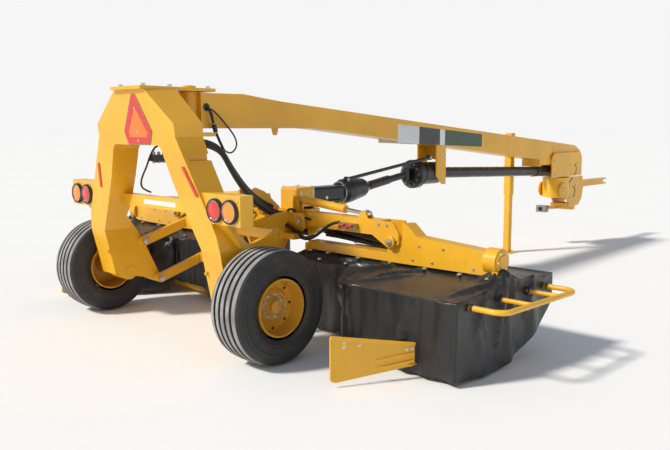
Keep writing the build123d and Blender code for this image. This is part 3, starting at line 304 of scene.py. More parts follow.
def lathe(mesh, start, way, profile, sides=32, material=0):
    """A turned shape about a line, by (distance along, radius)."""
    turn = way.to_track_quat("Z", "Y").to_matrix().to_4x4()
    rings = []
    for along, radius in profile:
        ring = []
        for index in range(sides):
            angle = 2 * pi * index / sides
            local = Vector((radius * cos(angle), radius * sin(angle), along))
            ring.append(mesh.verts.new(start + turn @ local))
        rings.append(ring)
    close_tube(mesh, rings, material)


def rod(mesh, start, end, radius, sides=20, material=0, end_radius=None):
    """A round bar between two points, tapered where it has an end radius."""
    way = end - start
    profile = [(0, radius), (way.length, radius if end_radius is None else end_radius)]
    lathe(mesh, start, way, profile, sides, material)


def bolt(mesh, place, way, across, height, material=0):
    """A hexagon head on a washer."""
    washer = [(-0.002, across * 0.8), (across * 0.12, across * 0.8)]
    lathe(mesh, place, way, washer, 20, material)
    head = [(0, across * 0.56), (height * 0.85, across * 0.56), (height, across * 0.46)]
    lathe(mesh, place, way, head, 6, material)


def dot(mesh, place, way, radius, material):
    """A thin round disc of painted shade, for a hole or slot in a face."""
    lathe(mesh, place, way, [(0, radius), (0.0012, radius)], 12, material)


def slot(mesh, sign, x, middle_y, middle_z, material):
    """A curved slot in a cheek plate, as a row of discs of painted shade along an arc."""
    for index in range(9):
        angle = radians(-62 + 124 * index / 8)
        place = at(sign * x, middle_y + 0.085 * cos(angle), middle_z + 0.075 * sin(angle))
        dot(mesh, place, right * sign, 0.0105, material)


def around(count, across, first=0.0):
    """Directions evenly spread in the plane of a direction and up."""
    spokes = []
    for index in range(count):
        angle = 2 * pi * (index + first) / count
        spokes.append(across * cos(angle) + up * sin(angle))
    return spokes


def box(mesh, low, high, material=0):
    """A block between two corners."""
    size = Matrix.Diagonal((*[abs(v) for v in (high - low)], 1))
    place = Matrix.Translation((low + high) / 2) @ size
    made = bmesh.ops.create_cube(mesh, size=1, matrix=place)
    for face in {f for v in made["verts"] for f in v.link_faces}:
        face.material_index = material


def plate(mesh, corners, thickness, material=0):
    """A flat plate with those corners in front."""
    normal = (corners[1] - corners[0]).cross(corners[2] - corners[0]).normalized()
    front = [mesh.verts.new(c) for c in corners]
    back = [mesh.verts.new(c - normal * thickness) for c in corners]
    faces = [mesh.faces.new(front), mesh.faces.new(list(reversed(back)))]
    for index in range(len(corners)):
        after = (index + 1) % len(corners)
        faces.append(mesh.faces.new((front[index], back[index], back[after], front[after])))
    for face in faces:
        face.material_index = material


def smooth_line(route):
    """A curve with the route's points as its control points."""
    data = bpy.data.curves.new("line", "CURVE")
    data.dimensions = "3D"
    data.resolution_u = 10
    spline = data.splines.new("NURBS")
    spline.points.add(len(route) - 1)
    for point, place in zip(spline.points, route):
        point.co = (*place, 1)
    spline.order_u = 3
    spline.use_endpoint_u = True
    return data


def read_line(data):
    """The points along a curve's own line."""
    obj = new_object("line", data)
    bpy.context.view_layer.update()
    made = bpy.data.meshes.new_from_object(obj)
    points = [v.co.copy() for v in made.vertices]
    bpy.data.meshes.remove(made)
    bpy.data.objects.remove(obj)
    return points


def hose(name, radius, route, body=None, between=None, sides=14):
    """A hose along a smooth line, which rides on a body, or stays fixed where it is when it runs between
    two.
    """
    points = read_line(smooth_line([at(*place) for place in route]))
    mesh = bmesh.new()
    rings = []
    side = None
    for index, point in enumerate(points):
        before = points[max(index - 1, 0)]
        after = points[min(index + 1, len(points) - 1)]
        way = (after - before).normalized()
        if side:
            side = (side - way * side.dot(way)).normalized()
        else:
            side = way.orthogonal().normalized()
        other = way.cross(side)
        ring = []
        for step in range(sides):
            angle = 2 * pi * step / sides
            spoke = side * cos(angle) + other * sin(angle)
            ring.append(mesh.verts.new(point + spoke * radius))
        rings.append(ring)
    close_tube(mesh, rings)
    obj = piece(name, mesh, [hose_rubber], body, 50)
    if between:
        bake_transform(obj)


# Edges of the CAD pieces

SHARP_NODES = {"right_tyre", "left_tyre", "right_canvas_cover", "left_canvas_cover", "warning_triangle"}
for name, obj in nodes.items():
    if name not in SHARP_NODES:
        round_edges(obj, 0.004 if "gearbox" in name or "arch" in name else 0.003)

# Tyres: ribbed tread and ringed side walls

RIB_PLACES = (-0.112, -0.056, 0.0, 0.056, 0.112)
RIB_HALF = 0.0185
GROOVE_DEPTH = 0.013
TREAD_HALF = 0.14
SHOULDER_R = 0.385
TYRE_ROUNDS = 144
RUBBER, RIB_TOP, GROOVE = 0, 1, 2

# One side wall from the shoulder to the rim, as (distance from the tyre's middle, radius)
WALL_RINGS = (
    (0.146, SHOULDER_R), (0.15, 0.374), (0.1545, 0.362), (0.1535, 0.356), (0.158, 0.34),
    (0.1592, 0.322), (0.1575, 0.318), (0.1598, 0.3), (0.1585, 0.282), (0.16, 0.278), (0.156, 0.262),
    (0.1575, 0.256), (0.148, 0.236), (0.144, 0.2235),
)


def crown_radius(x):
    """Radius of the tread's top at a distance from its middle."""
    return TYRE_RADIUS - 0.0012 - 0.011 * (x / 0.135) ** 2


def tread_profile():
    """The tread's section, as (x, radius, material)."""
    points = [(-TREAD_HALF, SHOULDER_R + 0.006, RUBBER)]
    for place in RIB_PLACES:
        start = place - RIB_HALF
        end = place + RIB_HALF
        groove_radius = crown_radius(place) - GROOVE_DEPTH
        if place != RIB_PLACES[0]:
            points.append((start - 0.0015, groove_radius, GROOVE))
        points.append((start, crown_radius(start) - 0.002, RUBBER))
        points.append((start + 0.003, crown_radius(start), RIB_TOP))
        points.append((end - 0.003, crown_radius(end), RIB_TOP))
        points.append((end, crown_radius(end) - 0.002, RUBBER))
        if place != RIB_PLACES[-1]:
            points.append((end + 0.0015, groove_radius, GROOVE))
    points.append((TREAD_HALF, SHOULDER_R + 0.006, RUBBER))
    return points


def band_material(here, there):
    """The material between two points of the tread's section."""
    if GROOVE in (here, there):
        return GROOVE
    return RIB_TOP if here == there == RIB_TOP else RUBBER


def build_tyre(side, sign):
    """The ribbed tyre that stands for the CAD tyre."""
    mesh = bmesh.new()
    left_wall = [(-x, radius, RUBBER) for x, radius in reversed(WALL_RINGS)]
    right_wall = [(x, radius, RUBBER) for x, radius in WALL_RINGS]
    section = left_wall + tread_profile() + right_wall
    centre = at(sign * WHEEL_X, 0, TYRE_RADIUS)
    rings = []
    for x, radius, material in section:
        ring = []
        for index in range(TYRE_ROUNDS):
            angle = 2 * pi * index / TYRE_ROUNDS
            spoke = ahead * radius * cos(angle) + up * radius * sin(angle)
            ring.append(mesh.verts.new(centre + right * x + spoke))
        rings.append(ring)
    materials = [material for x, radius, material in section]
    for low, high, here, there in zip(rings, rings[1:], materials, materials[1:]):
        band(mesh, low, high, band_material(here, there))
    tyre = piece(f"{side}_tyre_ribs", mesh, [rubber, worn_rubber, groove_rubber], None, 30)
    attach(tyre, f"{side}_wheel")
    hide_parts(f"{side}_tyre")


# Wheel trim

RIM_FACE_X = WHEEL_X + 0.0425
NUT_CIRCLE = 0.085
HAND_HOLE_CIRCLE = 0.158
HUB_CAP = [(0, 0.05), (0.02, 0.05), (0.03, 0.044), (0.034, 0.03), (0.036, 0.004)]


def build_wheel_trim(side, sign):
    """Wheel nuts, hub cap, valve and the rim's hand holes, which are discs of painted shade."""
    out = right * sign
    face = at(sign * RIM_FACE_X, 0, TYRE_RADIUS)
    mesh = bmesh.new()
    for spoke in around(8, ahead, 0.5):
        nut = face + spoke * NUT_CIRCLE
        bolt(mesh, nut, out, 0.026, 0.018)
        rod(mesh, nut, nut + out * 0.03, 0.008, 12)
    lathe(mesh, at(sign * (WHEEL_X + 0.06), 0, TYRE_RADIUS), out, HUB_CAP, 36, 1)
    valve = at(sign * (WHEEL_X + 0.04), 0, TYRE_RADIUS) + (ahead * 0.6 + up * 0.8) * 0.172
    rod(mesh, valve, valve + out * 0.045, 0.0045, 12, 0, 0.003)
    holes = bmesh.new()
    for spoke in around(8, ahead):
        place = at(sign * (WHEEL_X + 0.0412), 0, TYRE_RADIUS) + spoke * HAND_HOLE_CIRCLE
        lathe(holes, place, out, [(-0.004, 0.011), (0.0006, 0.011)], 18)
    piece(f"{side}_wheel_nuts", mesh, [zinc, shaded_wheel_golden], f"{side}_wheel")
    piece(f"{side}_hand_hole_shades", holes, [hole_shade_paint], f"{side}_wheel")


for side, sign in SIDES:
    build_tyre(side, sign)
    build_wheel_trim(side, sign)

# Canvas covers: a sheet hung over each bed's frame, held by its bolts and edge rods

COLUMNS = 74
DRAPE_ROWS = 20
BACK_ROWS = 20
FRONT_ROWS = 26
CREASE_ROW = DRAPE_ROWS
RIDGE_ROW = DRAPE_ROWS + BACK_ROWS
FRONT_ROW = RIDGE_ROW + FRONT_ROWS

REAR_Y = 0.45
RECESS_DEPTH = 0.35
RECESS_X = 1.43
RECESS_RUN = 0.22
RIDGE_Y = 1.0
RIDGE_Z = 0.618
BEAM_Y = 1.05
FRONT_Y = 1.65
FRONT_Z = 0.59
FRONT_DROP = 0.19
CREASE_Z = 0.555
HEM_Z = 0.05
BOLT_XS = (0.56, 0.765, 1.1, 1.42, 1.76, 2.07, 2.3)
HEM_LINE = ((0.45, 0.05), (0.95, 0.03), (1.25, 0.13), (1.5, 0.3), (1.65, 0.4))

EXTRA_CLOTH = 0.03
CLOTH_FRAMES = 34
MOVE_LIMIT = 0.045
INWARD_LIMIT = 0.018
END_INWARD_LIMIT = 0.003


def ease(share):
    """A smooth step from 0 to 1."""
    share = min(1.0, max(0.0, share))
    return share * share * (3 - 2 * share)


def recess(x):
    """1 beside the wheel, where the cover stands back, and 0 outboard of it."""
    return ease((RECESS_X - x) / RECESS_RUN)


def hem_height(y):
    """Height of the end panel's lower edge."""
    for (y1, z1), (y2, z2) in zip(HEM_LINE, HEM_LINE[1:]):
        if y <= y2:
            return z1 + (z2 - z1) * max(0.0, (y - y1) / (y2 - y1))
    return HEM_LINE[-1][1]


def cover_rows(x, lifted_hem):
    """The cover's section at x as (y, z), from the rear hem to the front hem."""
    back_y = REAR_Y + RECESS_DEPTH * recess(x)
    crease_z = CREASE_Z + 0.025 * recess(x)
    low = HEM_Z + 0.01 * recess(x)
    if lifted_hem:
        low += 0.1 * ease((x - 0.66) / 0.12) * ease((1.32 - x) / 0.12)
    rows = [(back_y, low + (crease_z - low) * (row / DRAPE_ROWS)) for row in range(DRAPE_ROWS)]
    for row in range(BACK_ROWS):
        share = row / BACK_ROWS
        rows.append((back_y + (RIDGE_Y - back_y) * share, crease_z + (RIDGE_Z - crease_z) * share))
    for row in range(FRONT_ROWS):
        share = row / FRONT_ROWS
        rows.append((RIDGE_Y + (FRONT_Y - RIDGE_Y) * share, RIDGE_Z - 0.028 * share * share))
    return rows + [(FRONT_Y, FRONT_Z - FRONT_DROP * row / DRAPE_ROWS) for row in range(DRAPE_ROWS + 1)]


def is_pinned(x, column, row, bolt_columns):
    """Whether a point of the sheet is held by an edge rod, a bolt, the beam or a corner."""
    on_rod = row == CREASE_ROW and (x > 1.46 or column % 7 == 0)
    under_beam = row == RIDGE_ROW + 2 or (row == RIDGE_ROW - 1 and column in bolt_columns)
    at_corner = column in (0, COLUMNS) and row in (CREASE_ROW, CREASE_ROW + 9, RIDGE_ROW, RIDGE_ROW + 13)
    return on_rod or under_beam or at_corner or row == FRONT_ROW


def strip(mesh, first, second):
    """Faces between two lines of points."""
    for row in range(min(len(first), len(second)) - 1):
        mesh.faces.new((first[row], second[row], second[row + 1], first[row + 1]))


def end_panel(mesh, line):
    """Lines of points of the panel that hangs from the sheet's end edge."""
    panel = [list(reversed(line[: CREASE_ROW + 1]))]
    for vertex in line[CREASE_ROW + 1 : FRONT_ROW]:
        low = hem_height(vertex.co.y - AXLE_Y)
        down = [vertex]
        for row in range(1, DRAPE_ROWS + 1):
            z = vertex.co.z + (low - vertex.co.z) * row / DRAPE_ROWS
            down.append(mesh.verts.new(Vector((vertex.co.x, vertex.co.y, z))))
        panel.append(down)
    panel.append(line[FRONT_ROW:])
    return panel


def cover_mesh(sign, lifted_hem):
    """The sheet and its end panels before they hang, and the pinned points' numbers."""
    mesh = bmesh.new()
    width = BED_OUTER - BED_INNER
    bolt_columns = {round((x - BED_INNER) / width * COLUMNS) for x in BOLT_XS}
    columns = []
    pins = []
    for column in range(COLUMNS + 1):
        x = BED_INNER + width * column / COLUMNS
        line = []
        for row, (y, z) in enumerate(cover_rows(x, lifted_hem)):
            vertex = mesh.verts.new(at(sign * x, y, z))
            line.append(vertex)
            if is_pinned(x, column, row, bolt_columns):
                pins.append(vertex)
        columns.append(line)
    for first, second in zip(columns, columns[1:]):
        strip(mesh, first, second)
    for line in (columns[0], columns[-1]):
        panel = end_panel(mesh, line)
        for first, second in zip(panel, panel[1:]):
            strip(mesh, first, second)
    bmesh.ops.recalc_face_normals(mesh, faces=mesh.faces)
    mesh.verts.index_update()
    return mesh, [vertex.index for vertex in pins]


def modified_mesh(obj):
    """A new mesh with the modifiers' result."""
    return bpy.data.meshes.new_from_object(obj.evaluated_get(bpy.context.evaluated_depsgraph_get()))


def settled_places(obj, pins):
    """Where the sheet's points come to rest, with a little more cloth than the frame needs."""
    group = obj.vertex_groups.new(name="pins")
    group.add(pins, 1.0, "REPLACE")
    modifier = obj.modifiers.new("cloth", "CLOTH")
    cloth = modifier.settings
    cloth.quality = 5
    cloth.mass = 0.5
    cloth.tension_stiffness = 25
    cloth.compression_stiffness = 25
    cloth.shear_stiffness = 12
    cloth.bending_stiffness = 1.5
    cloth.air_damping = 3
    cloth.shrink_min = -EXTRA_CLOTH
    cloth.vertex_group_mass = "pins"
    modifier.collision_settings.use_collision = False
    modifier.point_cache.frame_start = 1
    modifier.point_cache.frame_end = CLOTH_FRAMES
    for step in range(1, CLOTH_FRAMES + 1):
        scene.frame_set(step)
    settled = modified_mesh(obj)
    places = [v.co.copy() for v in settled.vertices]
    bpy.data.meshes.remove(settled)
    obj.modifiers.remove(modifier)
    scene.frame_set(1)
    return places


def hang(obj, pins):
    """Moves the sheet towards where it settles, no further than the limits."""
    rest = [v.co.copy() for v in obj.data.vertices]
    hung = settled_places(obj, pins)
    normals = [v.normal.copy() for v in obj.data.vertices]
    middle = sum(rest, Vector()) / len(rest)
    for vertex, before, after, normal in zip(obj.data.vertices, rest, hung, normals):
        out = normal if normal.dot(before - middle) > 0 else -normal
        move = after - before
        if move.length > MOVE_LIMIT:
            move *= MOVE_LIMIT / move.length
        inward = -move.dot(out)
        allowed = END_INWARD_LIMIT if abs(before.x) > BED_OUTER - 0.02 else INWARD_LIMIT
        if inward > allowed:
            move += out * (inward - allowed)
        under_beam = abs(before.y - AXLE_Y - BEAM_Y) < 0.09 and before.z > 0.6
        if under_beam and move.z > 0:
            move.z = 0
        vertex.co = before + move


# Folds that run from the bolts and corners: start, middle and end as (x, y, z), then width and height
FOLDS = (
    ((1.74, 0.97, 0.617), (1.62, 0.84, 0.6), (1.52, 0.7, 0.59), 0.02, 0.015),
    ((1.42, 0.98, 0.617), (1.28, 0.9, 0.61), (1.05, 0.84, 0.6), 0.024, 0.014),
    ((1.42, 0.97, 0.617), (1.33, 0.8, 0.6), (1.26, 0.68, 0.58), 0.026, 0.013),
    ((1.1, 0.98, 0.617), (1.00, 0.93, 0.61), (0.84, 0.86, 0.59), 0.02, 0.012),
    ((1.76, 0.95, 0.617), (1.66, 0.72, 0.59), (1.5, 0.58, 0.57), 0.03, 0.008),
    ((0.78, 0.97, 0.617), (0.66, 0.9, 0.6), (0.5, 0.84, 0.58), 0.022, 0.012),
    ((1.36, 0.55, 0.57), (1.33, 0.57, 0.48), (1.35, 0.54, 0.36), 0.03, 0.022),
    ((1.22, 0.76, 0.57), (1.24, 0.77, 0.44), (1.22, 0.78, 0.28), 0.026, 0.016),
    ((2.42, 0.98, 0.6), (2.42, 0.93, 0.46), (2.42, 0.9, 0.22), 0.032, 0.024),
    ((2.42, 1.1, 0.6), (2.42, 1.08, 0.48), (2.42, 1.00, 0.33), 0.024, 0.014),
    ((2.42, 0.78, 0.58), (2.42, 0.7, 0.46), (2.42, 0.66, 0.3), 0.03, 0.012),
    ((2.42, 1.36, 0.59), (2.42, 1.3, 0.46), (2.42, 1.26, 0.34), 0.03, 0.014),
    ((2.36, 0.97, 0.6), (2.3, 0.8, 0.59), (2.26, 0.62, 0.575), 0.024, 0.01),
    ((1.95, 0.45, 0.3), (1.98, 0.45, 0.16), (2.00, 0.45, 0.06), 0.032, 0.014),
    ((2.32, 0.45, 0.5), (2.28, 0.45, 0.28), (2.27, 0.45, 0.08), 0.045, 0.012),
    ((1.52, 0.45, 0.52), (1.55, 0.45, 0.3), (1.54, 0.45, 0.1), 0.045, 0.012),
)
FOLD_GAIN = 2.3
FOLD_LIMIT = 0.04
VALLEY_SHARE = 0.32
VALLEY_PLACE = 2.1
VALLEY_LIMIT = -0.008
PEAK_X = 2.345
PEAK_HEIGHT = 0.085
PEAK_RADIUS = 0.085


def fold_rise(places, sign, corners, width, height):
    """How far one fold lifts each point of the sheet, with a shallow valley beside it."""
    start, middle, end = [np.array(at(sign * x, y, z)) for x, y, z in corners]
    shares = np.linspace(0, 1, 24)
    curve = [(1 - t) ** 2 * start + 2 * t * (1 - t) * middle + t * t * end for t in shares]
    line = [places[np.linalg.norm(places - point, axis=1).argmin()] for point in curve]
    gaps = np.stack([np.linalg.norm(places - point, axis=1) for point in line])
    gap = gaps.min(0)
    fade = np.sin(pi * (0.12 + 0.8 * shares[gaps.argmin(0)])) ** 0.7
    crest = np.exp(-((gap / width) ** 2))
    valley = VALLEY_SHARE * np.exp(-(((gap - VALLEY_PLACE * width) / width) ** 2))
    return FOLD_GAIN * height * fade * (crest - valley)


def fold(obj, sign):
    """Raises the folds on the settled sheet and the pleated peak at the beam's outer post."""
    places = np.array([v.co for v in obj.data.vertices])
    normals = np.array([v.normal for v in obj.data.vertices])
    out = places - np.array(at(sign * 1.4, BEAM_Y, 0.2))
    normals *= np.sign((normals * out).sum(1))[:, None]
    rise = np.zeros(len(places))
    for *corners, width, height in FOLDS:
        rise += fold_rise(places, sign, corners, width, height)
    lowest_rise = np.where(np.abs(places[:, 0]) > BED_OUTER - 0.03, 0.0, VALLEY_LIMIT)
    moved = places + normals * np.clip(rise, lowest_rise, FOLD_LIMIT)[:, None]
    under_beam = (np.abs(places[:, 1] - AXLE_Y - BEAM_Y) < 0.085) & (places[:, 2] > 0.6)
    moved[under_beam, 2] = np.minimum(moved[under_beam, 2], places[under_beam, 2])
    off = moved[:, :2] - np.array(at(sign * PEAK_X, BEAM_Y, 0))[:2]
    pleats = 1 + 0.22 * np.sin(7 * np.arctan2(off[:, 1], off[:, 0]) + 0.6)
    peak = PEAK_HEIGHT * np.exp(-((np.linalg.norm(off, axis=1) / (PEAK_RADIUS * pleats)) ** 2))
    top = moved[:, 2] > 0.52
    moved[top, 2] += peak[top]
    obj.data.vertices.foreach_set("co", moved.astype(np.float32).ravel())
    obj.data.update()


def build_cover(side, sign):
    """The canvas that stands for one CAD cover."""
    mesh, pins = cover_mesh(sign, side == "left")
    area = sum(face.calc_area() for face in mesh.faces)
    sheet = piece(f"{side}_cover_sheet", mesh, [canvas], None, 180)
    hang(sheet, pins)
    finer = sheet.modifiers.new("finer", "SUBSURF")
    finer.levels = 1
    finer.render_levels = 1
    finer_mesh = modified_mesh(sheet)
    sheet.modifiers.clear()
    sheet.data = finer_mesh
    fold(sheet, sign)
    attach(sheet, f"{side}_bed")
    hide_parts(f"{side}_canvas_cover")


def build_cover_bolts(side, sign):
    """Bolts along the beam, on the rear top and on the inner edge of a cover."""
    mesh = bmesh.new()
    for x in BOLT_XS:
        bolt(mesh, at(sign * x, 0.965, 0.619), up, 0.024, 0.01)
    for x in (0.8, 1.09):
        bolt(mesh, at(sign * x, 0.835, 0.588), up, 0.022, 0.01)
    for y in (1.08, 1.24, 1.4, 1.56):
        bolt(mesh, at(sign * 0.52, y, 0.612), up, 0.02, 0.008)
    piece(f"{side}_cover_bolts", mesh, [zinc], f"{side}_bed")


for side, sign in SIDES:
    build_cover(side, sign)
for side, sign in SIDES:
    build_cover_bolts(side, sign)

# Hoses, by radius and route

MAIN_HOSES = (
    (0.025, (
        (0.16, 0.06, 1.53), (0.16, 0.2, 1.52), (0.15, 0.36, 1.46), (0.14, 0.46, 1.32),
        (0.14, 0.58, 1.16), (0.14, 0.74, 1.00), (0.16, 0.9, 0.915), (0.2, 1.02, 0.875),
        (0.28, 1.12, 0.855),
    )),
    (0.023, (
        (0.21, 0.06, 1.54), (0.21, 0.18, 1.53), (0.2, 0.33, 1.46), (0.185, 0.42, 1.32),
        (0.18, 0.53, 1.17), (0.18, 0.68, 1.01), (0.19, 0.86, 0.9), (0.22, 0.99, 0.845),
        (0.34, 1.04, 0.8), (0.44, 1.02, 0.76),
    )),
    (0.02, (
        (0.11, 0.1, 1.52), (0.11, 0.26, 1.5), (0.11, 0.4, 1.44), (0.105, 0.5, 1.31),
        (0.1, 0.64, 1.14), (0.1, 0.8, 1.01), (0.11, 0.93, 0.955),
    )),
)
TONGUE_HOSE = (
    (0.12, 0.235, 1.8), (0.15, 0.238, 1.8), (0.168, 0.255, 1.76), (0.168, 0.275, 1.69),
    (0.166, 0.295, 1.62), (0.16, 0.335, 1.54), (0.155, 0.385, 1.46),
)
THIN_TONGUE_HOSE = (
    (0.12, 0.255, 1.79), (0.15, 0.265, 1.79), (0.165, 0.32, 1.745), (0.16, 0.41, 1.66),
    (0.155, 0.5, 1.57), (0.155, 0.525, 1.49), (0.155, 0.47, 1.43), (0.155, 0.41, 1.44),
    (0.155, 0.375, 1.47),
)
LEFT_HOSE = (
    (-0.12, 0.02, 1.52), (-0.14, -0.06, 1.5), (-0.14, -0.115, 1.42), (-0.14, -0.15, 1.33),
    (-0.15, -0.19, 1.25), (-0.2, -0.17, 1.18), (-0.26, -0.1, 1.14), (-0.3, -0.02, 1.115),
)
LEFT_LOOP = (
    (-0.12, -0.03, 1.5), (-0.13, 0.02, 1.45), (-0.13, 0.04, 1.4), (-0.13, -0.01, 1.37),
    (-0.13, -0.09, 1.37), (-0.13, -0.12, 1.42), (-0.13, -0.07, 1.49),
)
CENTRE_HOSES = (
    (0.01, (
        (0.2, 1.02, 0.895), (0.24, 1.00, 0.935), (0.3, 0.99, 0.945), (0.38, 0.98, 0.915),
        (0.46, 0.98, 0.885), (0.54, 0.98, 0.872),
    )),
    (0.012, (
        (0.19, 0.96, 0.91), (0.22, 0.94, 0.88), (0.3, 0.94, 0.82), (0.38, 0.94, 0.76),
        (0.46, 0.94, 0.715), (0.56, 0.94, 0.71), (0.66, 0.94, 0.755), (0.76, 0.94, 0.83),
        (0.84, 0.95, 0.875), (0.9, 0.96, 0.885),
    )),
    (0.011, (
        (0.36, 0.93, 0.8), (0.44, 0.925, 0.76), (0.5, 0.925, 0.73), (0.56, 0.925, 0.725),
        (0.64, 0.94, 0.755),
    )),
    (0.01, (
        (0.1, 0.97, 0.9), (0.2, 0.92, 0.86), (0.32, 0.92, 0.8), (0.44, 0.925, 0.77),
        (0.56, 0.93, 0.76),
    )),
)

# Hoses from the arch to the lift links and the tongue
link_bend = ("chassis", "lower_link_pair", at(0.14, 0.45, 1.35), at(0.2, 1.35, 0.6))
for number, (radius, route) in enumerate(MAIN_HOSES, 1):
    hose(f"main_hose_{number}", radius, route, None, link_bend)
tongue_bend = ("chassis", "tongue", at(0.15, 0.42, 1.46), at(0.15, 0.25, 1.72))
hose("tongue_hose", 0.011, TONGUE_HOSE, None, tongue_bend)
hose("tongue_hose_thin", 0.0065, THIN_TONGUE_HOSE, None, tongue_bend)

# The tongue hose's coupling, and the grommet where it leaves the tongue
mesh = bmesh.new()
rod(mesh, at(0.168, 0.284, 1.665), at(0.166, 0.3, 1.605), 0.019)
rod(mesh, at(0.168, 0.281, 1.675), at(0.166, 0.303, 1.595), 0.014, 6, 1)
lathe(mesh, at(0.1295, 0.24, 1.8), right, [(0, 0.03), (0.006, 0.03), (0.01, 0.022)], 24)
piece("tongue_hose_fitting", mesh, [black_plastic, steel], "tongue")

# The coupler block left of the arch's middle, and its thin hoses
hose("left_hose", 0.0075, LEFT_HOSE, "chassis")
hose("left_hose_loop", 0.007, LEFT_LOOP, "chassis")
mesh = bmesh.new()
box(mesh, at(-0.16, -0.11, 1.375), at(-0.09, 0.02, 1.425))
for y in (-0.09, -0.045, 0.0):
    rod(mesh, at(-0.125, y, 1.36), at(-0.125, y, 1.45), 0.013, 12, 1)
piece("coupler_block", mesh, [black_metal, steel], "chassis")

# Short hoses over the header, the same on both sides
for number, (radius, route) in enumerate(CENTRE_HOSES, 1):
    mirrored = [(-x, y, z) for x, y, z in route]
    hose(f"centre_hose_{number}", radius, route, "carrier")
    hose(f"left_centre_hose_{number}", radius, mirrored, "carrier")

# Lamps: black bezel, chrome inner ring and a domed lens with rings

LAMP_Y = -0.257
LAMP_Z = 1.077
LENS_RADIUS = 0.065
BEZEL = [(0, 0.084), (0.02, 0.084), (0.026, 0.08), (0.026, 0.07), (0.016, 0.066)]
CHROME_RING = [(0.002, 0.0695), (0.0235, 0.0695), (0.0235, 0.066), (0.012, 0.064)]


def lens_profile():
    """The lens's section, as (distance out, radius)."""
    profile = [(0.004, LENS_RADIUS + 0.0005), (0.018, LENS_RADIUS)]
    for ring in range(1, 9):
        radius = LENS_RADIUS * (1 - ring / 9)
        dome = 0.0075 * (1 - (radius / LENS_RADIUS) ** 2)
        step = 0.0012 if ring % 2 else 0
        profile.append((0.018 + dome + step, radius))
    return profile


def build_lamps(colour, lamp_x, lens):
    """A pair of lamps that stands for the CAD pair."""
    mesh = bmesh.new()
    for sign in (1, -1):
        place = at(sign * lamp_x, LAMP_Y, LAMP_Z)
        lathe(mesh, place, -ahead, BEZEL, 48, 1)
        lathe(mesh, place, -ahead, CHROME_RING, 48, 2)
        lathe(mesh, place, -ahead, lens_profile(), 48)
    lamps = piece(f"{colour}_lamp_set", mesh, [lens, black_plastic, chrome], None, 40)
    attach(lamps, "chassis")
    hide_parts(f"{colour}_lamps")


build_lamps("red", 0.905, red_lens)
build_lamps("amber", 1.068, amber_lens)

# Slow-vehicle triangle and reflectors on the arch's sloping back

TRIANGLE_X = 0.06
TRIANGLE_OUTLINE = (
    (-0.022, -0.035), (0.022, -0.035), (0.19, -0.308), (0.148, -0.405), (-0.148, -0.405),
    (-0.19, -0.308),
)
TRIANGLE_INNER = (
    (0, -0.125), (0, -0.125), (0.132, -0.318), (0.118, -0.352), (-0.118, -0.352), (-0.132, -0.318),
)
REFLECTORS = (
    ((0.578, 1.365), (0.61, 1.365), (0.741, 1.162), (0.708, 1.158)),
    ((-0.596, 1.352), (-0.622, 1.352), (-0.64, 1.155), (-0.612, 1.153)),
)


def on_arch_back(x, z, proud=0.0):
    """A point on the arch's back face."""
    share = (z - ARCH_BACK_KNEE[1]) / (ARCH_BACK_TOP[1] - ARCH_BACK_KNEE[1])
    return at(x, ARCH_BACK_KNEE[0] + share * (ARCH_BACK_TOP[0] - ARCH_BACK_KNEE[0]) - proud, z)


def on_triangle(x, z, proud):
    """A point on the triangle's face, from its middle line and the arch's top."""
    return on_arch_back(TRIANGLE_X + x, ARCH_TOP + z, proud)


# The triangle's red border, steel edge and bolts
mesh = bmesh.new()
outer = [on_triangle(x, z, 0.0052) for x, z in TRIANGLE_OUTLINE]
inner = [on_triangle(x, z, 0.0052) for x, z in TRIANGLE_INNER]
for index in range(6):
    after = (index + 1) % 6
    corners = [outer[index], inner[index], inner[after], outer[after]]
    if (inner[index] - inner[after]).length < 1e-6:
        corners = [outer[index], inner[index], outer[after]]
    mesh.faces.new([mesh.verts.new(c) for c in corners])
rim = [on_triangle(x, z, 0.004) for x, z in TRIANGLE_OUTLINE]
for start, end in zip(rim, rim[1:] + rim[:1]):
    rod(mesh, start, end, 0.0028, 8, 1)
for z in (-0.14, -0.31, -0.378):
    bolt(mesh, on_triangle(0, z, 0.005), -ahead, 0.014, 0.006, 2)
piece("triangle_border", mesh, [red_film, steel, zinc], "chassis", 20)

# Red strips on the arch's legs
mesh = bmesh.new()
for outline in REFLECTORS:
    corners = [on_arch_back(x, z, 0.004) for x, z in outline]
    plate(mesh, corners, 0.0035 if outline[0][0] > 0 else -0.0035)
piece("arch_reflectors", mesh, [red_film], "chassis", 20)

# Blank films on the tongue's sides and on the crossbeam

FILM_START_Y = 2.6
FILMS = ((0, 2.6, 2.95), (1, 2.95, 3.31), (0, 3.31, 3.4), (2, 3.4, 4.115))
FILM_THICKNESS = 0.0006


def film_edges(y):
    """Heights of the films' lower and upper edges."""
    run = y - FILM_START_Y
    return 1.478 - 0.1025 * run * 0.42, 1.671 - 0.0745 * run


# Films on both sides of the tongue
mesh = bmesh.new()
for sign in (1, -1):
    x = sign * (TONGUE_HALF + 0.0008)
    for stuff, y1, y2 in FILMS:
        low_1, high_1 = film_edges(y1)
        low_2, high_2 = film_edges(y2)
        corners = [at(x, y1, low_1), at(x, y2, low_2), at(x, y2, high_2), at(x, y1, high_1)]
        if sign < 0:
            corners.reverse()
        plate(mesh, corners, FILM_THICKNESS, stuff)
piece("blank_films", mesh, [bare_decal, black_decal, green_decal], "tongue", 20)

# Film on the crossbeam
mesh = bmesh.new()
outline = ((-0.2, 1.038), (0.24, 1.038), (0.24, 1.072), (-0.2, 1.072))
plate(mesh, [at(x, -0.1457, z) for x, z in outline], FILM_THICKNESS)
piece("crossbeam_film", mesh, [bare_decal], "chassis", 20)

# Trim of the beds and arms

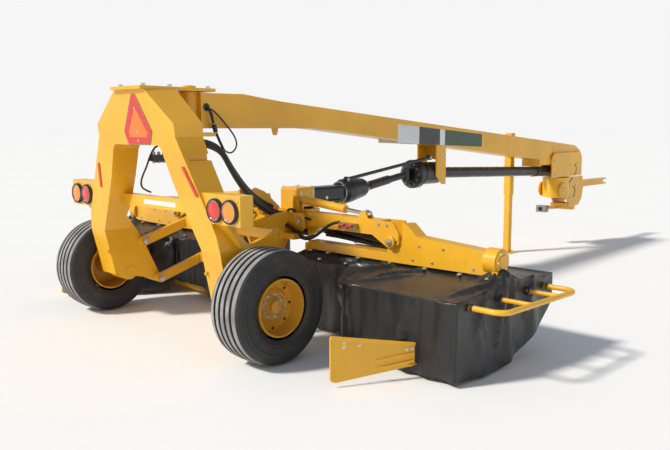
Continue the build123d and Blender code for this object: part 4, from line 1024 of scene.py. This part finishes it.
BOARD_FOOT = (1.835, -0.08)
BOARD_RUN = (0.26, 0.52)
BOARD_HALF = 0.006
BOARD_TOP_INNER = 0.328
BOARD_TOP_OUTER = 0.234
ARM_FACE_Y = 0.98
BEAM_FACE_Y = 1.003
FLAP_COLUMNS = 41
FLAP_ROWS = 7
HUB_FACE = [(0.0, 0.08), (0.006, 0.08), (0.01, 0.074), (0.01, 0.052), (0.018, 0.048), (0.02, 0.02)]
PIVOT_COLLAR = [(0, 0.046), (0.01, 0.046), (0.014, 0.04), (0.014, 0.03), (0.022, 0.03)]
TUBE_CLAMP = [(0, 0.03), (0.006, 0.03), (0.01, 0.024)]


def on_board(sign, along, z, proud=0.0):
    """A point on the swath board's outer face, by the share of its length and its height."""
    length = hypot(*BOARD_RUN)
    out = BOARD_HALF + proud
    x = BOARD_FOOT[0] + BOARD_RUN[0] * along + BOARD_RUN[1] / length * out
    y = BOARD_FOOT[1] + BOARD_RUN[1] * along - BOARD_RUN[0] / length * out
    return at(sign * x, y, z)


def build_board_trim(side, sign):
    """The swath board's rolled edges, ribs and bolts."""
    mesh = bmesh.new()
    corner = on_board(sign, 0.0, BOARD_TOP_INNER, -0.003)
    rod(mesh, corner, on_board(sign, 1.0, BOARD_TOP_OUTER), 0.012, 16)
    rod(mesh, corner, on_board(sign, 0.0, 0.05), 0.008, 12)
    for low, high in ((0.146, 0.172), (0.095, 0.122)):
        rod(mesh, on_board(sign, 0.52, low, -0.004), on_board(sign, 0.985, high), 0.013, 14)
    out = (on_board(sign, 0, 0, 0.01) - on_board(sign, 0, 0)).normalized()
    for along, z in ((0.15, 0.288), (0.33, 0.262), (0.15, 0.262), (0.9, 0.205), (0.97, 0.205)):
        bolt(mesh, on_board(sign, along, z), out, 0.014, 0.006, 1)
    piece(f"{side}_board_trim", mesh, [golden, zinc], f"{side}_bed")


def build_arm_trim(side, sign):
    """The arm's pivot collar, bolts, and a valve block with red caps."""
    mesh = bmesh.new()
    collar = at(sign * 1.43, 0.966, 0.78)
    lathe(mesh, collar, -ahead, PIVOT_COLLAR, 32, 1)
    bolt(mesh, collar - ahead * 0.02, -ahead, 0.034, 0.018)
    for x, z in ((1.3, 0.9), (1.385, 0.9), (1.475, 0.79)):
        bolt(mesh, at(sign * x, ARM_FACE_Y, z), -ahead, 0.016, 0.009)
    bolt(mesh, at(sign * 0.42, 0.952, 0.85), -ahead, 0.036, 0.018)
    box(mesh, at(sign * 0.9, 0.945, 0.842), at(sign * 1.07, 0.998, 0.884), 2)
    for index in range(4):
        place = at(sign * (0.925 + 0.04 * index), 0.946, 0.868 if index % 2 else 0.856)
        lathe(mesh, place, -ahead, [(0, 0.012), (0.022, 0.012), (0.026, 0.008)], 16, 3)
    piece(f"{side}_arm_trim", mesh, [zinc, golden, steel, red_cap], f"{side}_arm_body")


def build_arm_tubes(side, sign):
    """Two black tubes that run along the arm's underside."""
    mesh = bmesh.new()
    rod(mesh, at(sign * 0.56, 1.15, 0.8), at(sign * 1.26, 1.15, 0.728), 0.02)
    rod(mesh, at(sign * 0.6, 1.145, 0.742), at(sign * 1.27, 1.145, 0.7), 0.019)
    piece(f"{side}_arm_tubes", mesh, [black_plastic], f"{side}_arm_body")


def build_gap_shade_flap(side, sign):
    """A black flap that hangs below the arm and fills the gap above the bed's beam: partly the header's
    inner cover flap, partly a dark sheet of painted shade there.
    """
    mesh = bmesh.new()
    columns = []
    for index in range(FLAP_COLUMNS):
        share = index / (FLAP_COLUMNS - 1)
        x = 0.52 + 0.73 * share
        high = 0.845 - 0.055 * share
        low = 0.71 - 0.005 * share
        column = []
        for row in range(FLAP_ROWS):
            down = row / (FLAP_ROWS - 1)
            y = 1.18 + 0.006 * sin(9 * x + 0.8 * row) * down
            column.append(mesh.verts.new(at(sign * x, y, high + (low - high) * down)))
        columns.append(column)
    for first, second in zip(columns, columns[1:]):
        strip(mesh, first, second)
    flap = piece(f"{side}_arm_flap", mesh, [canvas], f"{side}_arm_body", 60)
    flap.modifiers.new("thickness", "SOLIDIFY").thickness = 0.004


def build_bed_trim(side, sign):
    """The beam's two holes, each a ring round a disc of painted shade, its bolts, its outer hub face, and
    the bumper tube's clamps.
    """
    out = right * sign
    mesh = bmesh.new()
    for x in (1.985, 2.078):
        hole = at(sign * x, BEAM_FACE_Y, 0.702)
        lathe(mesh, hole + ahead * 0.0002, -ahead, [(-0.004, 0.013), (0.0006, 0.013)], 20, 1)
        lathe(mesh, hole, -ahead, [(0, 0.018), (0.002, 0.018), (0.002, 0.0135)], 20)
    hub = at(sign * 2.35, 1.06, 0.73)
    lathe(mesh, hub, out, HUB_FACE, 40)
    for spoke in around(6, ahead):
        bolt(mesh, hub + out * 0.009 + spoke * 0.063, out, 0.014, 0.007, 2)
    for x, z in ((1.62, 0.66), (1.8, 0.66), (2.16, 0.66), (1.68, 0.77), (1.9, 0.77)):
        bolt(mesh, at(sign * x, BEAM_FACE_Y, z), -ahead, 0.015, 0.008, 2)
    for y in (0.59, 0.93, 1.29, 1.53):
        lathe(mesh, at(sign * 2.436, y, 0.505), out, TUBE_CLAMP, 28, 3)
    piece(f"{side}_bed_trim", mesh, [golden, hole_shade_paint, zinc, black_plastic], f"{side}_bed")


for side, sign in SIDES:
    build_board_trim(side, sign)
    build_arm_trim(side, sign)
    build_arm_tubes(side, sign)
    build_gap_shade_flap(side, sign)
    build_bed_trim(side, sign)

# Trim at the centre of the header

LUG_OUTLINE = (
    (0.7, 1.105), (0.76, 1.13), (0.86, 1.09), (1.03, 0.945), (1.00, 0.905), (0.93, 0.915), (0.8, 1.02),
    (0.715, 1.05),
)
LUG_X = 0.075
LUG_THICKNESS = 0.016
CARRIER_FACE_Y = 0.9645
GUARD_RING = [(0, 0.098), (0, 0.105), (0.012, 0.105), (0.012, 0.098)]

# The shelf and ring of the input guard, and the centre gearbox's bolts and plug
mesh = bmesh.new()
box(mesh, at(-0.12, 1.3, 0.9055), at(0.12, 1.86, 0.9255))
for x in (-0.104, 0.104):
    for y in (1.5, 1.62, 1.78):
        bolt(mesh, at(x, y, 0.9255), up, 0.02, 0.014, 1)
for y in (1.245, 1.425):
    for x in (-0.09, 0.09):
        bolt(mesh, at(x, y, 1.0995), up, 0.018, 0.009, 1)
for z in (0.95, 1.05):
    for y in (1.26, 1.41):
        bolt(mesh, at(0.1195, y, z), right, 0.018, 0.009, 1)
lathe(mesh, at(0, 1.872, 1.0155), ahead, GUARD_RING, 48, 2)
lathe(mesh, at(0.0875, 1.62, 0.985), right, [(0, 0.018), (0.006, 0.018), (0.01, 0.012)], 24, 1)
piece("input_trim", mesh, [golden, zinc, steel], "input_gearbox")

# The upper links' lugs and pin, and the carrier's boxes and bolts
half = LUG_THICKNESS / 2
mesh = bmesh.new()
for sign in (-1, 1):
    plate(mesh, [at(sign * LUG_X + half, y, z) for y, z in LUG_OUTLINE], LUG_THICKNESS)
    for y, z in ((0.745, 1.085), (0.93, 1.0)):
        bolt(mesh, at(sign * (LUG_X + half), y, z), right * sign, 0.026, 0.014, 1)
for sign in (1, -1):
    box(mesh, at(sign * 0.19, 0.865, 0.705), at(sign * 0.46, 0.963, 0.752))
    for x, z in ((0.34, 0.89), (0.4, 0.89), (0.46, 0.89), (0.45, 0.81)):
        bolt(mesh, at(sign * x, CARRIER_FACE_Y, z), -ahead, 0.016, 0.009, 1)
rod(mesh, at(-0.085, 0.745, 1.085), at(0.085, 0.745, 1.085), 0.016, 20, 1)
round_edges(piece("carrier_trim", mesh, [golden, zinc], "carrier"), 0.002)

# The rod beside the rear drive shaft, with an eye at each end
rod_x = 0.15
ends = ((1.83, 1.15), (3.1, 1.318))
mesh = bmesh.new()
rod(mesh, at(rod_x, *ends[0]), at(rod_x, *ends[1]), 0.017)
for y, z in ends:
    rod(mesh, at(rod_x - 0.02, y, z), at(rod_x + 0.02, y, z), 0.026, 24)
    bolt(mesh, at(rod_x + 0.02, y, z), right, 0.018, 0.01, 1)
piece("steering_rod", mesh, [black_plastic, zinc], "rear_shaft")

# Trim of the driveline, the front gearbox and the hitch head

FRONT_CHEEK_X = 0.16
FRONT_BOLTS = (
    (6.23, 1.132), (6.41, 1.14), (6.24, 1.005), (6.42, 1.01), (6.08, 1.000), (5.8, 1.19), (5.8, 1.01),
)
HEAD_CHEEK_X = 0.12
HEAD_BOLTS = ((6.3, 0.835), (6.475, 0.838), (6.315, 0.665), (6.46, 0.671), (6.3, 0.587), (6.6, 0.9))
DRUM_BAND = [(0, 0.1205), (0, 0.1235), (0.014, 0.1235), (0.014, 0.1205)]
TURRET_FACE = [
    (0, 0.098), (0.01, 0.098), (0.016, 0.092), (0.016, 0.07), (0.022, 0.066), (0.022, 0.03),
    (0.03, 0.026),
]

# Bolts of the bearing bracket, the drum and the front cheeks, and the cheeks' seams and slots of painted
# shade
mesh = bmesh.new()
for sign in (1, -1):
    for y, z in ((3.385, 1.37), (3.325, 1.34), (3.385, 1.305)):
        bolt(mesh, at(sign * 0.135, y, z), right * sign, 0.018, 0.01, 1)
bolt(mesh, at(0.119, 3.33, 1.145), right, 0.03, 0.018)
for spoke in around(12, right):
    bolt(mesh, at(0, 2.966, DRIVE_Z) + spoke * 0.116, -ahead, 0.013, 0.007, 1)
lathe(mesh, at(0, 3.12, DRIVE_Z), ahead, DRUM_BAND, 48, 2)
for sign in (1, -1):
    for y, z in FRONT_BOLTS:
        bolt(mesh, at(sign * FRONT_CHEEK_X, y, z), right * sign, 0.022, 0.012, 1)
    slot(mesh, sign, FRONT_CHEEK_X - 0.0005, 6.3, 1.062, 3)
    seam_x = sign * (TONGUE_HALF + 0.0003)
    rod(mesh, at(seam_x, 5.775, 1.39), at(seam_x, 5.795, 1.24), 0.006, 10)
piece("front_trim", mesh, [golden, zinc, black_metal, hole_shade_paint], "tongue")

# The hitch head's bolts, slots of painted shade and round turret face
mesh = bmesh.new()
for sign in (1, -1):
    out = right * sign
    slot_x = HEAD_CHEEK_X - 0.0002
    for y, z in HEAD_BOLTS:
        bolt(mesh, at(sign * HEAD_CHEEK_X, y, z), out, 0.022, 0.012, 1)
    slot(mesh, sign, slot_x, 6.365, 0.752, 2)
    for index in range(7):
        place = at(sign * slot_x, 6.26 + 0.017 * index, 0.875 + 0.012 * index)
        dot(mesh, place, out, 0.011, 2)
    lathe(mesh, at(sign * 0.15, 6.04, 0.8), out, TURRET_FACE, 48)
    for spoke in around(6, ahead):
        bolt(mesh, at(sign * 0.166, 6.04, 0.8) + spoke * 0.081, out, 0.012, 0.006, 1)
piece("hitch_trim", mesh, [golden, zinc, hole_shade_paint], "swivel_head")

# Bolts of the arch's top plate, the link pins, the lamp boxes and the legs' holes, with painted shade
# inside the holes

TOP_PLATE_BOLTS = ((0.16, -0.34), (0.17, -0.12), (0.13, 0.26))
LEG_HOLE = (0.679, -0.003, 0.404)

mesh = bmesh.new()
for x, y in TOP_PLATE_BOLTS:
    for side_x in (-x, x):
        bolt(mesh, at(side_x, y, 1.945), up, 0.03, 0.018)
lathe(mesh, at(0, 0.17, 1.958), up, [(0, 0.055), (0.006, 0.055), (0.01, 0.045)], 32, 1)
for sign in (1, -1):
    inward = right * -sign
    for y, z in ((0.25, 0.32), (0.1, 0.665)):
        bolt(mesh, at(sign * 0.586, y, z), inward, 0.04, 0.016)
    for x, z in ((0.86, 1.15), (1.14, 1.15), (1.14, 1.00)):
        bolt(mesh, at(sign * x, LAMP_Y, z), -ahead, 0.013, 0.006)
    bolt(mesh, at(sign * 0.7, -0.205, 0.6), -ahead, 0.02, 0.01, 1)
    hole = at(sign * LEG_HOLE[0], *LEG_HOLE[1:])
    lathe(mesh, hole, inward, [(0, 0.046), (0.004, 0.046), (0.004, 0.031)], 32, 1)
    lathe(mesh, hole, inward, [(-0.004, 0.0305), (0.0012, 0.0305)], 32, 2)
piece("arch_trim", mesh, [zinc, golden, hole_shade_paint], "chassis")

# Floor, backdrop and light

material, tree, shader = new_material("floor")
tone = ramp(tree, noise(tree, 0.6, 3), [(0.3, grey(0.95)), (0.7, grey(0.97))])
tree.links.new(tone, shader.inputs["Base Color"])
shader.inputs["Roughness"].default_value = 0.9
bpy.ops.mesh.primitive_plane_add(size=240, location=(0, 0, 0))
floor = bpy.context.object
floor.name = "floor"
floor.data.materials.append(material)


def studio_sky():
    """White near the horizon and a dimmer, soft blue overhead."""
    world = bpy.data.worlds.new("studio")
    scene.world = world
    world.use_nodes = True
    tree = world.node_tree
    background = tree.nodes["Background"]
    place = tree.nodes.new("ShaderNodeTexCoord")
    split = tree.nodes.new("ShaderNodeSeparateXYZ")
    tree.links.new(place.outputs["Generated"], split.inputs["Vector"])
    height = split.outputs["Z"]
    colour = ramp(tree, height, [(0.0, grey(1.0)), (0.3, grey(1.0)), (0.85, (0.62, 0.77, 1.0))])
    bright, dim = grey(0.92), grey(0.34)
    strength = ramp(tree, height, [(0.0, bright), (0.17, bright), (0.36, dim), (1.0, dim)])
    tree.links.new(colour, background.inputs["Color"])
    tree.links.new(strength, background.inputs["Strength"])


def sun(name, way, strength, spread, colour):
    """Even light that falls along a direction."""
    data = bpy.data.lights.new(name, "SUN")
    data.energy = strength
    data.angle = radians(spread)
    data.color = colour
    new_object(name, data).rotation_euler = Vector(way).to_track_quat("-Z", "Y").to_euler()


studio_sky()
sun("key", (0.34, 0.7, -0.68), 3.3, 8, (1.0, 0.95, 0.86))
sun("fill", (-0.9, 0.1, -0.35), 0.06, 60, (0.92, 0.96, 1.0))
scene.view_settings.view_transform = "Standard"

# Camera at the photo's place

PHOTO_WIDTH = 670
FOCAL_PIXELS = 757
SENSOR_WIDTH = 36
CAMERA_AZIMUTH = radians(44.58)
CAMERA_PITCH = radians(7.45)

data = bpy.data.cameras.new("camera")
data.sensor_width = SENSOR_WIDTH
data.lens = FOCAL_PIXELS * SENSOR_WIDTH / PHOTO_WIDTH
camera = new_object("camera", data)
camera.location = at(5.11, -3.362, 1.651)
level = cos(CAMERA_PITCH)
back = Vector((sin(CAMERA_AZIMUTH) * level, -cos(CAMERA_AZIMUTH) * level, sin(CAMERA_PITCH)))
camera.rotation_mode = "QUATERNION"
camera.rotation_quaternion = (-back).to_track_quat("-Z", "Y")
scene.camera = camera
